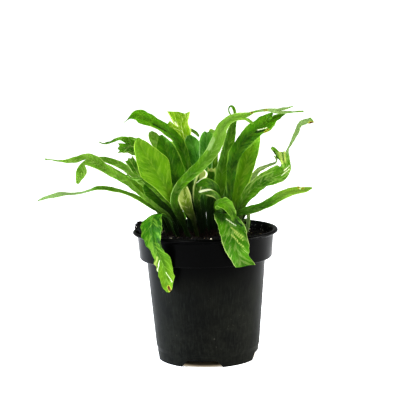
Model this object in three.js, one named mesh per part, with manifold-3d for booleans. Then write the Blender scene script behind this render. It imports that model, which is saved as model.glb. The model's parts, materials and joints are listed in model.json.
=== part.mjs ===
// A crested strap fern in a black nursery pot, in millimetres with +Z up. It is drawn about the pot's axis and then
// moved, so that the origin is the middle of the whole plant's footprint at the level of the pot's foot. The front of
// the plant faces -Y. Fronds are thin blades that ripple, twist and fork, each on its own stalk, and the stalks stand
// in sockets in a creeping rhizome that lies half buried in the potting mix.
import * as THREE from 'three';
import { mergeVertices } from 'three/addons/utils/BufferGeometryUtils.js';
import Module from 'manifold-3d';

const wasm = await Module();
wasm.setup();

// ---- Driving dimensions --------------------------------------------------------------------------------------
const POT_AXIS = [25.5, -34.6];
const LIP_RADIUS = 60;
const POT_HEIGHT = 107.4;
const COLLAR_BOTTOM_Z = 84;
const COLLAR_RADIUS = 54.9;
const BODY_TOP_RADIUS = 49.4;
const FOOT_RADIUS = 42;
const WALL = 1.2;
const FLOOR_Z = 7;
const FLOOR_THICKNESS = 1.5;
const NOTCH = { count: 4, width: 34, height: 5.6, slope: 5, turn: -7 };
const DRAIN = { width: 8, inner: 26, centre: 5 };
const POT_SIDES = 40;

const GAP = 0.3;
const SOIL_EDGE_Z = 100;
const SOIL_MOUND = 2.5;
const CRUMBS = 30;

const ROOT_Z = 94;
const STALK_HALF = 1.5;
const STALK_THICK = 2.4;
const STALK_LENGTH = 45;
const BLADE_EDGE = 0.75;
const BLADE_RIB = 1.35;
const SOCKET = { radius: 2.35, depth: 13, sides: 5 };
const STATION = 10.5;
const NARROW = 3;

// The plant was measured on the upright plane through the pot's axis, as the eye sees it from here.
const EYE = { across: 2.6, up: 250, distance: 917 };

// ---- The fronds ----------------------------------------------------------------------------------------------
// root: where the stalk stands, [x, y]. sight: points along the midrib, [across, up, depth, half width], where
// across and up are read on the plane through the pot's axis and depth is how far behind that plane the point is.
// face: the way the upper side looks, spread evenly from stalk to tip. cup: how far the margins rise. ripple:
// [height, number, phase] of the waves in the margins. lobes: [share, number] of the margin's scallops.
// teeth: how far the end runs out at even steps across. fork: the prongs, each a frond that starts at the split.
const FRONDS = {
  left_forked: {
    root: [-22, -4],
    sight: [[-29, 116, -6, 1.8], [-39, 125.5, -9, 1.8], [-48, 133.2, -12, 1.8], [-56, 140.1, -14, 2],
      [-63, 146.6, -16, 2.4], [-70, 151.6, -18, 2.9], [-76.5, 155.4, -19, 3.3], [-82.5, 159.6, -20, 4.2],
      [-88.5, 164, -21, 5.8], [-95, 166.6, -22, 5.8]],
    face: [[-0.3, -1, 0.5], [0, -0.9, 0.5], [0, -0.9, 0.6]],
    cup: 0.12,
    ripple: [1, 2.5, 0],
    fork: [
      { sight: [[-100, 160.6, -25, 5.2], [-101.2, 155.8, -27, 4.4], [-103.2, 150.8, -27, 2.6],
      [-104.7, 147, -27, 0.9]] },
      { sight: [[-103.5, 167.2, -23, 2.9], [-110, 166, -24, 2], [-117, 166, -25, 0.9],
      [-123, 167, -25, 0.5],
        [-130.3, 168, -25, 0.4]] },
    ],
  },
  left_behind: {
    root: [-18, 9],
    sight: [[-26, 120, 10, 2], [-38, 134, 13, 2.4], [-50, 146, 16, 2.8], [-59, 154.4, 19, 3],
      [-66, 160, 21, 2.9], [-73, 163.8, 22, 2.9], [-80, 166, 22, 2.5], [-87, 167.2, 22, 1.8],
      [-93, 167.8, 22, 0.6]],
    face: [[-0.3, -0.8, 0.6], [0, -0.8, 0.6]],
    cup: 0.15,
    ripple: [0.8, 2, 0.3],
  },
  left_low: {
    root: [-25, 4],
    sight: [[-33, 117.5, 6, 1.8], [-44, 126.4, 9, 2.6], [-56, 134, 12, 3.6], [-68, 139.4, 14, 3.8],
      [-79, 142.2, 15, 3.4], [-88, 142.6, 16, 3], [-96, 140.6, 17, 2.3], [-103, 138.8, 18, 2.6],
      [-111, 138.4, 19, 3.4], [-119, 138.4, 20, 4], [-129, 136.4, 20, 2.6], [-138, 133.6, 20, 0.5]],
    face: [[-0.4, -0.3, 0.9], [0, -0.3, 1], [0, -0.3, 1], [-0.1, -0.45, 1]],
    cup: 0.15,
    ripple: [0.7, 3, 0],
  },
  left_hanging: {
    root: [-19, -12],
    sight: [[-27, 113, -18, 1.8], [-32.5, 118, -24, 2.8], [-38, 120, -31, 4.8], [-42.6, 117.4, -39, 7.4],
      [-44.2, 111.5, -47, 8.9], [-44, 104, -51, 8.8], [-42.8, 96, -51.8, 7], [-40.2, 89.4, -51.3, 6.6],
      [-37, 82.5, -50, 7.5], [-34.4, 74.5, -47.5, 7.2], [-33, 66.5, -45.5, 6.5], [-32.3, 59, -43.5, 4.7],
      [-32, 54.2, -43, 1.6]],
    face: [[-0.2, -0.4, 1], [-0.3, -0.5, 0.9], [-0.4, -0.9, 0.2], [-0.5, -0.85, 0.1]],
    cup: 0.1,
    ripple: [1.4, 3, 0.2],
  },
  broad_front: {
    root: [-13, -11],
    sight: [[-18.5, 116, -14, 2], [-23.5, 127.6, -17, 3.2], [-30.2, 138, -20, 5.2],
      [-34.7, 147.4, -22, 8.4],
      [-37.8, 152.8, -23, 11.2], [-40.8, 158.4, -24.5, 13], [-44.4, 164.6, -25.5, 11.7],
      [-47.9, 170.6, -26, 9.1],
      [-51.2, 177, -26, 6.4], [-53.2, 181, -25, 3.7], [-54, 183.7, -25, 1.1]],
    face: [[-0.2, -1, 0.3], [0.1, -1, 0.3], [0.05, -1, 0.35]],
    cup: 0.14,
    ripple: [1.2, 2, 0.4],
  },
  left_crest: {
    root: [-15, 14],
    sight: [[-21, 124, 16, 2.2], [-28, 142, 18, 3], [-36, 157.5, 20, 4.4], [-45, 168.6, 21, 5.8],
      [-53, 174.4, 21, 6.6], [-60, 177.2, 21, 6.9]],
    face: [[-0.3, -1, 0.3], [0, -1, 0.4]],
    cup: 0.15,
    ripple: [1.3, 3, 0],
    fork: [
      { sight: [[-65, 175.2, 20, 4.4], [-69.8, 175.4, 20, 4.3]], teeth: [1, -1.2, 0.8, -0.8, 0.6] },
      { sight: [[-66.8, 183.2, 21, 1.9], [-72, 182.7, 22, 1.3], [-76.5, 180.7, 22, 1],
      [-81, 179.3, 23, 0.9],
        [-85.3, 181.3, 23, 0.5]] },
    ],
  },
  left_split: {
    root: [-16, 3],
    sight: [[-23, 120, 0, 1.8], [-34, 133.6, -2, 2], [-44, 144, -4, 2.1], [-50, 149.4, -5, 2.3]],
    face: [[-0.3, -1, 0.3], [0, -1, 0.4]],
    cup: 0.2,
    ripple: [0.6, 2, 0],
    fork: [
      { sight: [[-54.4, 155.4, -6, 3], [-58.2, 161.2, -7, 3.9],
      [-61.6, 166.6, -7, 3.8]], teeth: [0.4, -0.6, 0.8, -0.8, 0.6] },
      { sight: [[-55.4, 149.2, -4, 1], [-59.8, 150.8, -3, 1], [-63.6, 153.8, -3, 0.6]] },
    ],
  },
  high_left_arch: {
    root: [-8, 12],
    sight: [[-9.5, 128, 15, 2.2], [-12, 150, 17, 2.8], [-15.5, 168, 18, 3.6], [-21.5, 181, 18, 4.3],
      [-30, 189.2, 17, 4.5], [-38.4, 195.2, 16, 4.8], [-46, 198.9, 15, 5.5], [-51.6, 200.9, 14, 5.6],
      [-55.4, 201.6, 13, 3.7], [-59.5, 200.2, 12, 1], [-64.8, 196.4, 12, 0.4]],
    face: [[-0.2, -1, 0.3], [0, -0.9, 0.5], [0, -0.9, 0.5]],
    cup: 0.2,
    ripple: [1.3, 3, 0.1],
  },
  high_fan: {
    root: [-3, 15],
    sight: [[-5.8, 126.5, 19.8, 2.5], [-9, 150, 23, 3.2], [-13, 173, 27, 4.4], [-16.2, 186.6, 28, 6.6]],
    face: [[-0.1, -1, 0.2], [0, -1, 0.3]],
    cup: 0.15,
    ripple: [0.8, 2, 0],
    fork: [
      { sight: [[-17, 193, 28.5, 4.9], [-18.4, 198.4, 29, 7.1], [-19.6, 203.8, 29, 9.3]],
        teeth: [3.4, 1.9, 0.6, -2.2, -1.4] },
      { sight: [[-23, 190.6, 27.5, 1.9], [-25.8, 193.2, 27, 2], [-28.4, 195.4, 27, 2]] },
    ],
  },
  pale_arc: {
    root: [-9, 19],
    sight: [[-11, 130, 26, 2.2], [-15, 155, 31, 2.2], [-22, 178, 34, 1.8], [-25.6, 186.6, 34, 1.5],
      [-23.4, 190.4, 34, 1.3], [-17.5, 190.8, 34, 1.2], [-11.5, 189.8, 34, 1.2], [-6.5, 187.2, 33, 1.2],
      [-3.4, 183.6, 32, 0.6]],
    face: [[0, -1, 0.3], [0, -1, 0.6]],
    cup: 0.2,
    ripple: [0.4, 2, 0],
    step: 6,
  },
  round_lobe: {
    root: [-11, 7],
    sight: [[-14, 128, 9, 1.7], [-20, 148, 11, 2], [-28, 165, 12, 3], [-35, 175.5, 12, 4.4],
      [-39.5, 182, 12, 4.7], [-42, 186.3, 12, 3.4], [-43.2, 188.6, 12, 1.6]],
    face: [[-0.2, -1, 0.3], [0.1, -1, 0.3]],
    cup: 0.15,
    ripple: [0.6, 2, 0],
  },
  behind_broad: {
    root: [-8, -3],
    sight: [[-12.5, 116, -5, 2.4], [-17, 129, -6, 4], [-20.8, 141, -7, 6.2], [-24, 154, -8, 8.2],
      [-28, 165.5, -8, 8.8], [-31.2, 174, -8, 7.4], [-33.6, 181, -7, 4.4], [-35, 185.4, -6, 1.6]],
    face: [[-0.1, -1, 0.2], [0.1, -1, 0.25]],
    cup: 0.2,
    ripple: [1.4, 2.5, 0.5],
  },
  s_curve: {
    root: [-10, -17],
    sight: [[-18, 112, -21, 2], [-24, 124, -26, 2.8], [-25, 134, -28, 3.3], [-20.5, 143, -30, 3.7],
      [-12, 151.5, -31, 4.1], [-3, 159.4, -31, 4.7], [4.4, 167.4, -31, 5], [9.2, 174.6, -30, 5.3],
      [12.7, 182, -28, 5.1], [15.2, 189.6, -26, 4.6], [20, 195.4, -24, 3.7], [26.5, 198.6, -22, 3.2],
      [33.6, 199, -20, 3.3]],
    face: [[-0.2, -1, 0.3], [0.3, -1, 0.4], [0.2, -1, 0.2], [0, -0.9, 0.5]],
    cup: 0.16,
    ripple: [0.9, 3, 0.2],
    fork: [
      { sight: [[37.2, 196, -20, 1.7], [41.2, 192.9, -20, 0.8]] },
      { sight: [[39.4, 201.8, -18, 1.2], [46, 203.6, -16, 0.8], [53, 204, -14, 1.3], [60, 203, -12, 2.1]],
        fork: [
          { sight: [[68, 202.2, -11, 1.1], [74, 202.1, -10.5, 0.7], [82.5, 202.4, -10, 0.4]] },
          { sight: [[67, 205, -11, 1], [74, 206.8, -9, 0.4]] },
        ] },
    ],
  },
  heart_left: {
    root: [0, 9],
    sight: [[-1.5, 120, 11.6, 2.4], [-3.4, 130, 14, 3.6], [-4.2, 147, 18, 4.2], [-5.2, 160, 21, 5.6],
      [-7.2, 169.6, 22, 7.2], [-9.2, 177, 22, 7], [-10.6, 182, 21, 4.8], [-11.4, 184.8, 20, 1.8]],
    face: [[0, -1, 0.2], [-0.2, -1, 0.3]],
    cup: 0.25,
    ripple: [0.5, 2, 0],
  },
  heart_right: {
    root: [4, 6],
    sight: [[3.5, 119.5, 8.4, 2.4], [3, 130, 10, 3.6], [2.2, 150, 13, 4.4], [1.6, 164, 14, 5.4],
      [2.2, 174, 14, 6], [2.8, 182, 13, 6], [3.4, 187.4, 12, 4.2]],
    face: [[0, -1, 0.2], [0.2, -1, 0.3]],
    cup: 0.2,
    ripple: [0.6, 2, 0.3],
    teeth: [-1.2, 0.6, -0.6, 0.6, -1.2],
  },
  looped: {
    root: [11, 7],
    sight: [[11.8, 118, 6.4, 2.4], [11.2, 130, 7, 3], [12.6, 140, 8, 4.2], [14.4, 151, 9, 5.2],
      [16.6, 162, 9, 5.2], [19.6, 173, 9, 4.7], [22.6, 184.5, 9, 4.1], [25, 194, 9, 2.4], [26.2, 199.6, 9, 1.4],
      [26.1, 204.2, 9, 1.3], [24.8, 207.2, 9.4, 1], [23, 208, 10, 0.8], [21.5, 206.4, 11, 0.7],
      [21.6, 203.6, 12, 0.7], [22.8, 200.8, 13, 0.5]],
    face: [[0, -1, 0.2], [0.1, -1, 0.2], [0.3, -1, 0.1], [0, -1, 0.1], [0, -1, 0.1]],
    cup: 0.2,
    ripple: [0.6, 2, 0],
    step: 5,
  },
  dark_lobed: {
    root: [15, -4],
    sight: [[18.4, 118, -7, 2.2], [20.7, 135, -10, 2.9], [22.2, 151, -12, 4.1], [24.6, 164.6, -13, 4.8],
      [30, 175, -13, 6.2], [36.6, 182.2, -12, 6.5], [43.4, 187.8, -11, 7.1], [49, 191.8, -10.5, 7.4],
      [53.6, 195, -10, 6]],
    face: [[0.2, -1, 0.1], [0.2, -1, 0.2], [0, -0.9, 0.4], [0, -0.9, 0.4]],
    cup: 0.15,
    ripple: [1, 3, 0.3],
    lobes: [0.12, 5],
    fork: [
      { sight: [[54.6, 199, -10.5, 2.6], [57, 201.6, -10.5, 1.1]] },
      { sight: [[58.4, 196.8, -9.5, 3.1], [63, 199, -9, 2.4], [67.2, 201.2, -8, 0.9]] },
    ],
  },
  wide_right: {
    root: [20, 3],
    sight: [[22.9, 119, 4, 2.7], [25, 129, 5, 5.4], [29, 144, 5, 7.2], [33.4, 157, 5, 7.5],
      [36.8, 168, 4, 7.4], [40, 177.4, 3, 6.8], [43, 184.4, 2, 4.6], [44.8, 189, 1, 1.4]],
    face: [[0.1, -1, 0.1], [-0.1, -1, 0.2]],
    cup: 0.2,
    ripple: [0.8, 2, 0],
  },
  right_crest: {
    root: [22, -5],
    sight: [[26, 117, -8, 2.4], [31, 128, -11, 4], [38, 137.5, -14, 5.2], [47, 145, -16, 5.8],
      [55.6, 149.4, -17, 6.8], [62, 151.8, -18, 7.2], [66.4, 154.6, -18, 5.2], [67.4, 158.8, -17, 4.1],
      [66.4, 162.4, -16, 4.4], [65.2, 165.4, -15, 5.2]],
    face: [[0.1, -1, 0.3], [0.1, -1, 0.3], [0, -1, 0.2], [0.1, -1, 0.1]],
    cup: 0.12,
    ripple: [1.1, 3, 0.5],
    fork: [
      { sight: [[69.6, 171, -13, 0.9], [73, 178.5, -12, 1.2], [76, 184.5, -11, 1.6], [79, 190, -10, 1.8],
        [83.5, 193.7, -10, 1.9], [89.6, 195, -9, 2.3]], teeth: [-0.8, 0.2, 0.8] },
      { sight: [[65.2, 168.1, -14.2, 2.1], [64.9, 169.9, -14.2, 2.1]], teeth: [0.3, -0.5, 0.3] },
      { sight: [[60.6, 168.9, -12.8, 2.2], [58, 171.4, -12, 1.8], [55.9, 173.5, -12, 1.1]] },
    ],
  },
  thin_curl: {
    root: [25, 4],
    sight: [[30.5, 122, 7, 1.8], [36, 138, 9, 2.2], [40.5, 149, 9, 2.4], [45, 155, 9, 2],
      [51, 157.8, 9, 1.4], [56.5, 159.8, 9, 1], [59.6, 161.4, 8, 0.9], [59.6, 164, 7, 0.8],
      [57.8, 166.4, 6, 0.4]],
    face: [[0, -1, 0.2], [0, -1, 0.3]],
    cup: 0.2,
    ripple: [0.5, 3, 0],
  },
  right_low: {
    root: [19.5, -11],
    sight: [[23.5, 113, -16, 2.2], [29, 119.5, -20, 3.8], [36, 121.6, -23, 5], [45, 123.7, -25, 4.8],
      [54, 127.4, -26, 4.8], [62, 132.3, -27, 4.6], [70, 135.8, -27, 4.9], [77.5, 136.9, -27, 4.7],
      [83.5, 137.4, -26, 3.4], [89, 139.3, -26, 0.6]],
    face: [[0.3, -0.5, 1], [0, -0.6, 0.8], [0, -0.6, 0.8]],
    cup: 0.15,
    ripple: [0.8, 3, 0.2],
  },
  right_hanging: {
    root: [15, -16.5],
    sight: [[14.6, 108, -20, 2.2], [13.2, 115, -26, 3.6], [13, 119.2, -33, 5.4], [15.2, 117.6, -41, 7.8],
      [19.2, 111.5, -49, 9.6], [22.4, 105, -56, 10.8], [24, 99, -59.5, 10.6], [25.1, 93, -61, 10.7],
      [26.1, 87.4, -61, 9.3], [28.2, 82, -60.5, 8], [31.2, 77.2, -60, 7.6]],
    face: [[0.2, -0.7, 0.9], [0.2, -0.9, 0.6], [0.2, -1, 0.15], [0.2, -1, 0]],
    cup: 0.1,
    ripple: [1.3, 2.5, 0.6],
    teeth: [6.2, 4, 2.5, 1, -1.5],
  },
  right_flap: {
    root: [10.5, -12.5],
    sight: [[12, 112, -15, 1.8], [11.3, 120, -19, 3.2], [11.2, 126.6, -27, 4.8], [13.2, 128.8, -36, 5.3],
      [17, 127, -43, 5], [20.8, 122.6, -49, 4.3], [22.9, 118, -53, 3], [24.6, 114.5, -57, 1.9],
      [27.5, 111.2, -60.5, 1.3], [31, 108.4, -63.5, 0.6]],
    face: [[0, -0.8, 0.6], [-0.2, -0.8, 0.6], [0.1, -1, 0.4], [0.2, -1, 0.3]],
    cup: 0.1,
    ripple: [0.6, 1.5, 0],
  },
  young_cream: {
    root: [-5, -16],
    sight: [[-9, 113, -19, 2], [-12.6, 121.5, -20, 3.6], [-15.8, 129, -20.5, 5.2], [-17, 135.6, -20, 5.4],
      [-16.8, 141, -19, 3.8], [-16.6, 144.6, -18, 1.3]],
    face: [[0, -1, 0.1], [0.1, -1, 0.1]],
    cup: 0.35,
    ripple: [0.5, 1.5, 0],
  },
  young_curl: {
    root: [-1, -9],
    sight: [[-4, 116, -12, 2], [-6.6, 131, -15, 2.8], [-6, 141, -16, 3.4], [-3.2, 148, -16, 4],
      [-0.8, 153.4, -15, 3.6], [-1.2, 157.4, -14, 0.9]],
    face: [[0, -1, 0.2], [0, -1, 0.2]],
    cup: 0.4,
    ripple: [0.4, 2, 0],
  },
  young_blunt: {
    root: [4, -2],
    sight: [[4.3, 116, -2, 2.4], [4.8, 134, -3, 3], [5.7, 147, -4, 3.2], [6.1, 153.4, -5, 3.1],
      [6.3, 157.5, -6, 3.1]],
    face: [[0, -1, 0.1], [0, -1, 0.1]],
    cup: 0.35,
    ripple: [0.4, 2, 0],
    teeth: [1, -1, 0, -1, 1],
  },
  young_pale_edge: {
    root: [11, -8],
    sight: [[12.5, 114, -12, 1.8], [13, 125, -16, 2.2], [11, 132.5, -19, 2.5], [7, 136, -21, 2.8],
      [2, 137.5, -22, 2.8], [-2, 138, -22, 1.8], [-4.2, 135.8, -21, 1.1], [-4.5, 131, -21, 0.5]],
    face: [[0, -1, 0.2], [0, -1, 0.5], [0, -0.9, 0.6], [0, -1, 0.3]],
    cup: 0.35,
    ripple: [0.4, 2, 0],
    step: 6,
  },
  young_dark: {
    root: [8, -1],
    sight: [[10, 120, -6, 2.4], [10.8, 133, -11, 3], [8.6, 141, -17, 3.6], [2.6, 145, -21, 3.8],
      [-2.6, 144.6, -22, 2.6],
      [-5.6, 143.4, -22, 1]],
    face: [[0, -1, 0.2], [0, -1, 0.4]],
    cup: 0.2,
    ripple: [0.5, 2, 0],
  },
  left_shaded: {
    root: [-20.5, 0.5],
    sight: [[-27.6, 118.5, 1, 2.7], [-34.2, 126.6, 2, 5.8], [-40, 134.4, 3, 6.9], [-44.4, 140.2, 3, 6.4],
      [-48.6, 145.6, 3, 4]],
    face: [[-0.2, -1, 0.3], [0.1, -1, 0.4]],
    cup: 0.2,
    ripple: [0.7, 2, 0],
    teeth: [-1.2, 0.5, -1.2],
  },
  fiddlehead: {
    root: [29.5, 7],
    sight: [[32.2, 103, 7.6, 1.4], [35, 108.6, 8.4, 1.5], [35.3, 112.8, 9, 1.4], [33, 113.8, 9.5, 1.2],
      [31.7, 111.2, 10, 1], [33, 109.3, 10.5, 0.6]],
    face: [[0, -1, 0], [0, -1, 0]],
    cup: 0,
    ripple: [0, 1, 0],
    step: 3.5,
  },
  small_stem: {
    root: [30, 1],
    sight: [[34.6, 106, 3, 1.5], [35.9, 113, 2, 1.5], [35.8, 119, 1, 1.5], [34.5, 123.5, 0, 0.8]],
    face: [[0, -1, 0], [0, -1, 0]],
    cup: 0.2,
    ripple: [0, 1, 0],
  },
  behind_right_crest: {
    root: [26, 11],
    sight: [[31, 124, 22, 2.4], [38, 136.5, 32, 4], [46, 144, 42, 4.8], [54, 148.5, 50, 5.2],
      [61, 151, 56, 4.6], [66, 154, 60, 1.2]],
    face: [[0, -0.7, 0.8], [0, -0.4, 1], [0, -0.4, 1]],
    cup: 0.1,
    ripple: [0.8, 2, 0.2],
  },
  behind_right_low: {
    root: [25, 16],
    sight: [[31.5, 117.5, 24, 2.2], [37.5, 121.7, 34, 4.4], [45, 123.8, 44, 6], [53, 127.3, 54, 6.4],
      [61, 132.3, 62, 5.6], [69, 136, 68, 3.6], [76, 137.3, 72, 0.9]],
    face: [[0, -0.4, 1], [0, -0.15, 1], [0, -0.15, 1]],
    cup: 0,
    ripple: [0.3, 2, 0],
  },
  behind_left_forked: {
    root: [-23, 13.5],
    sight: [[-35, 123, 20, 2.2], [-46, 134.5, 30, 3.6], [-57, 145, 39, 5], [-68, 153, 47, 5.4],
      [-79, 160, 53, 4.8], [-88, 164.5, 57, 3], [-95, 167, 60, 0.9]],
    face: [[0, -0.4, 1], [0, -0.15, 1], [0, -0.15, 1]],
    cup: 0,
    ripple: [0.3, 2, 0],
  },
  behind_left_low: {
    root: [-29, 9],
    sight: [[-37, 120.2, 22, 2], [-47, 128.6, 33, 3.6], [-59, 136, 43, 5], [-71, 140.7, 51, 5],
      [-82, 143, 57, 3.8], [-91, 142.6, 61, 0.9]],
    face: [[0, -0.2, 1], [0, 0.05, 1], [0, 0.05, 1]],
    cup: 0,
    ripple: [0.2, 2, 0],
  },
};

// The far side of the plant, which the front view hides: arching fronds laid out by a rule. Each has its root, the
// compass direction it leans in (degrees from +X), how far it reaches, its highest point, its tip's height, its
// half width and whether its tip is split.
const BACK = [
  { root: [-19, 15], lean: 104, reach: 92, peak: 158, tip: 142, half: 7, split: true },
  { root: [-13, 21], lean: 99, reach: 104, peak: 172, tip: 154, half: 8 },
  { root: [-3.5, 21], lean: 86, reach: 82, peak: 148, tip: 112, half: 8 },
  { root: [2, 18], lean: 80, reach: 116, peak: 176, tip: 160, half: 7.5, split: true },
  { root: [9, 19], lean: 76, reach: 84, peak: 152, tip: 124, half: 6.5 },
  { root: [15, 14], lean: 78, reach: 100, peak: 168, tip: 150, half: 7, split: true },
  { root: [21, 12], lean: 74, reach: 60, peak: 150, tip: 140, half: 5 },
  { root: [7, 12.5], lean: 80, reach: 50, peak: 184, tip: 181, half: 7 },
  { root: [-4, 27], lean: 104, reach: 60, peak: 132, tip: 102, half: 7 },
  { root: [15.5, 21], lean: 84, reach: 58, peak: 134, tip: 104, half: 6 },
];

// ---- Small tools ---------------------------------------------------------------------------------------------
// A measured point and half width as they are in the room: the point slides along the line of sight to its depth.
function seen([across, up, depth, half]) {
  const scale = 1 + depth / EYE.distance;
  return [EYE.across + (across - EYE.across) * scale, depth, EYE.up + (up - EYE.up) * scale, half * scale];
}

// A smooth curve through rows of numbers, at t from 0 to 1.
function smooth(rows, t) {
  const at = Math.min(Math.max(t, 0), 1) * (rows.length - 1);
  const i = Math.min(Math.floor(at), rows.length - 2);
  const f = at - i;
  const b = rows[i];
  const c = rows[i + 1];
  const a = i > 0 ? rows[i - 1] : b.map((x, k) => 2 * x - c[k]);
  const d = i + 2 < rows.length ? rows[i + 2] : c.map((x, k) => 2 * x - b[k]);
  return b.map((_, k) => 0.5 * (2 * b[k] + (c[k] - a[k]) * f
    + (2 * a[k] - 5 * b[k] + 4 * c[k] - d[k]) * f * f + (3 * b[k] - a[k] - 3 * c[k] + d[k]) * f ** 3));
}

// A straight blend through rows of numbers, at t from 0 to 1.
function blend(rows, t) {
  const at = Math.min(Math.max(t, 0), 1) * (rows.length - 1);
  const i = Math.min(Math.floor(at), rows.length - 2);
  return rows[i].map((x, k) => x + (rows[i + 1][k] - x) * (at - i));
}

const ease = (t) => {
  const x = Math.min(Math.max(t, 0), 1);
  return x * x * (3 - 2 * x);
};

function solidOf(geometry) {
  const bare = geometry.index ? geometry.toNonIndexed() : geometry.clone();
  bare.deleteAttribute('normal');
  bare.deleteAttribute('uv');
  const merged = mergeVertices(bare, 1e-4);
  return new wasm.Manifold(new wasm.Mesh({
    numProp: 3,
    vertProperties: merged.attributes.position.array,
    triVerts: new Uint32Array(merged.index.array),
  }));
}

function geometryOf(solid) {
  const mesh = solid.getMesh();
  const geometry = new THREE.BufferGeometry();
  geometry.setAttribute('position', new THREE.BufferAttribute(new Float32Array(mesh.vertProperties), 3));
  geometry.setIndex(new THREE.BufferAttribute(new Uint32Array(mesh.triVerts), 1));
  return geometry;
}

// An outline of [radius, z] turned about the axis. It runs anticlockwise: out along the bottom, up, and back in.
function turned(outline, sides) {
  return solidOf(new THREE.LatheGeometry(outline.map(([r, z]) => new THREE.Vector2(r, z)), sides)
    .rotateX(Math.PI / 2));
}

const join = (solids) => solids.reduce((whole, solid) => whole.add(solid));
const largest = (solid) => solid.decompose().sort((a, b) => b.volume() - a.volume())[0];

// The same draws every time the part is built.
function dice(seed) {
  let state = seed;
  return () => {
    state = (Math.imul(state, 1664525) + 1013904223) >>> 0;
    return state / 4294967296;
  };
}

// ---- The fronds' shape ---------------------------------------------------------------------------------------
// A frond's midrib as places in the room with its half width.
function midrib(frond) {
  const points = frond.sight ? frond.sight.map(seen) : frond.path;
  return frond.root ? [[...frond.root, ROOT_Z, STALK_HALF], ...points] : points;
}

// A frond of the far side: it rises, arches over in its direction and hangs to its tip, which may be split in two.
function archedFrond({ root, lean, reach, peak, tip, half, split }, number) {
  const out = [Math.cos(THREE.MathUtils.degToRad(lean)), Math.sin(THREE.MathUtils.degToRad(lean))];
  const place = (far, aside, z, wide) => [
    root[0] + out[0] * reach * far - out[1] * aside, root[1] + out[1] * reach * far + out[0] * aside, z, wide,
  ];
  const rise = peak - ROOT_Z;
  const fall = peak - tip;
  const path = [
    place(0.08, 0, ROOT_Z + rise * 0.42, half * 0.26), place(0.22, 0, ROOT_Z + rise * 0.76, half * 0.42),
    place(0.42, 0, ROOT_Z + rise * 0.97, half * 0.8), place(0.62, 0, peak, half),
    place(0.8, 0, peak - fall * 0.15, half * 0.9),
  ];
  const blade = {
    root,
    path,
    face: [[-out[0], -out[1], 0.5], [0, 0, 1], [out[0] * 0.6, out[1] * 0.6, 1]],
    cup: 0.15,
    ripple: [1.3, 3, number * 0.37],
    lobes: [0.08, 4],
  };
  if (split) {
    blade.fork = [1, -1].map((aside) => ({
      path: [
        place(0.9, aside * half * 0.75, peak - fall * 0.45, half * 0.42),
        place(1, aside * half * 1.3, tip, 0.7),
      ],
    }));
  } else {
    path.push(place(0.93, 0, peak - fall * 0.45, half * 0.5), place(1, 0, tip, 0.7));
  }
  return blade;
}

// Points along a curve at even distances, with the direction there. The curve is measured on a fine polyline.
function stations(rows, count) {
  const fine = 16 * (rows.length - 1);
  const dense = Array.from({ length: fine + 1 }, (_, i) => smooth(rows, i / fine));
  const place = (row) => new THREE.Vector3(row[0], row[1], row[2]);
  const far = [0];
  for (let i = 1; i <= fine; i++) far.push(far[i - 1] + place(dense[i]).distanceTo(place(dense[i - 1])));
  const at = (distance) => {
    let i = 1;
    while (i < fine && far[i] < distance) i++;
    const share = (distance - far[i - 1]) / (far[i] - far[i - 1]);
    return { row: blend([dense[i - 1], dense[i]], share), along: place(dense[i]).sub(place(dense[i - 1])).normalize() };
  };
  const total = far[fine];
  const number = typeof count === 'function' ? count(total) : count;
  return Array.from({ length: number + 1 }, (_, j) => {
    const { row, along } = at((total * j) / number);
    return { u: j / number, distance: (total * j) / number, point: place(row), half: row[3], along };
  });
}

// How many quads a frond needs across, so that each prong gets two or more.
const quadsAcross = (frond) => (frond.fork ? frond.fork.reduce((sum, prong) => sum + quadsAcross(prong), 0) : 2);
const widest = (frond) => Math.max(...midrib(frond).map((row) => row[3]));

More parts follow.
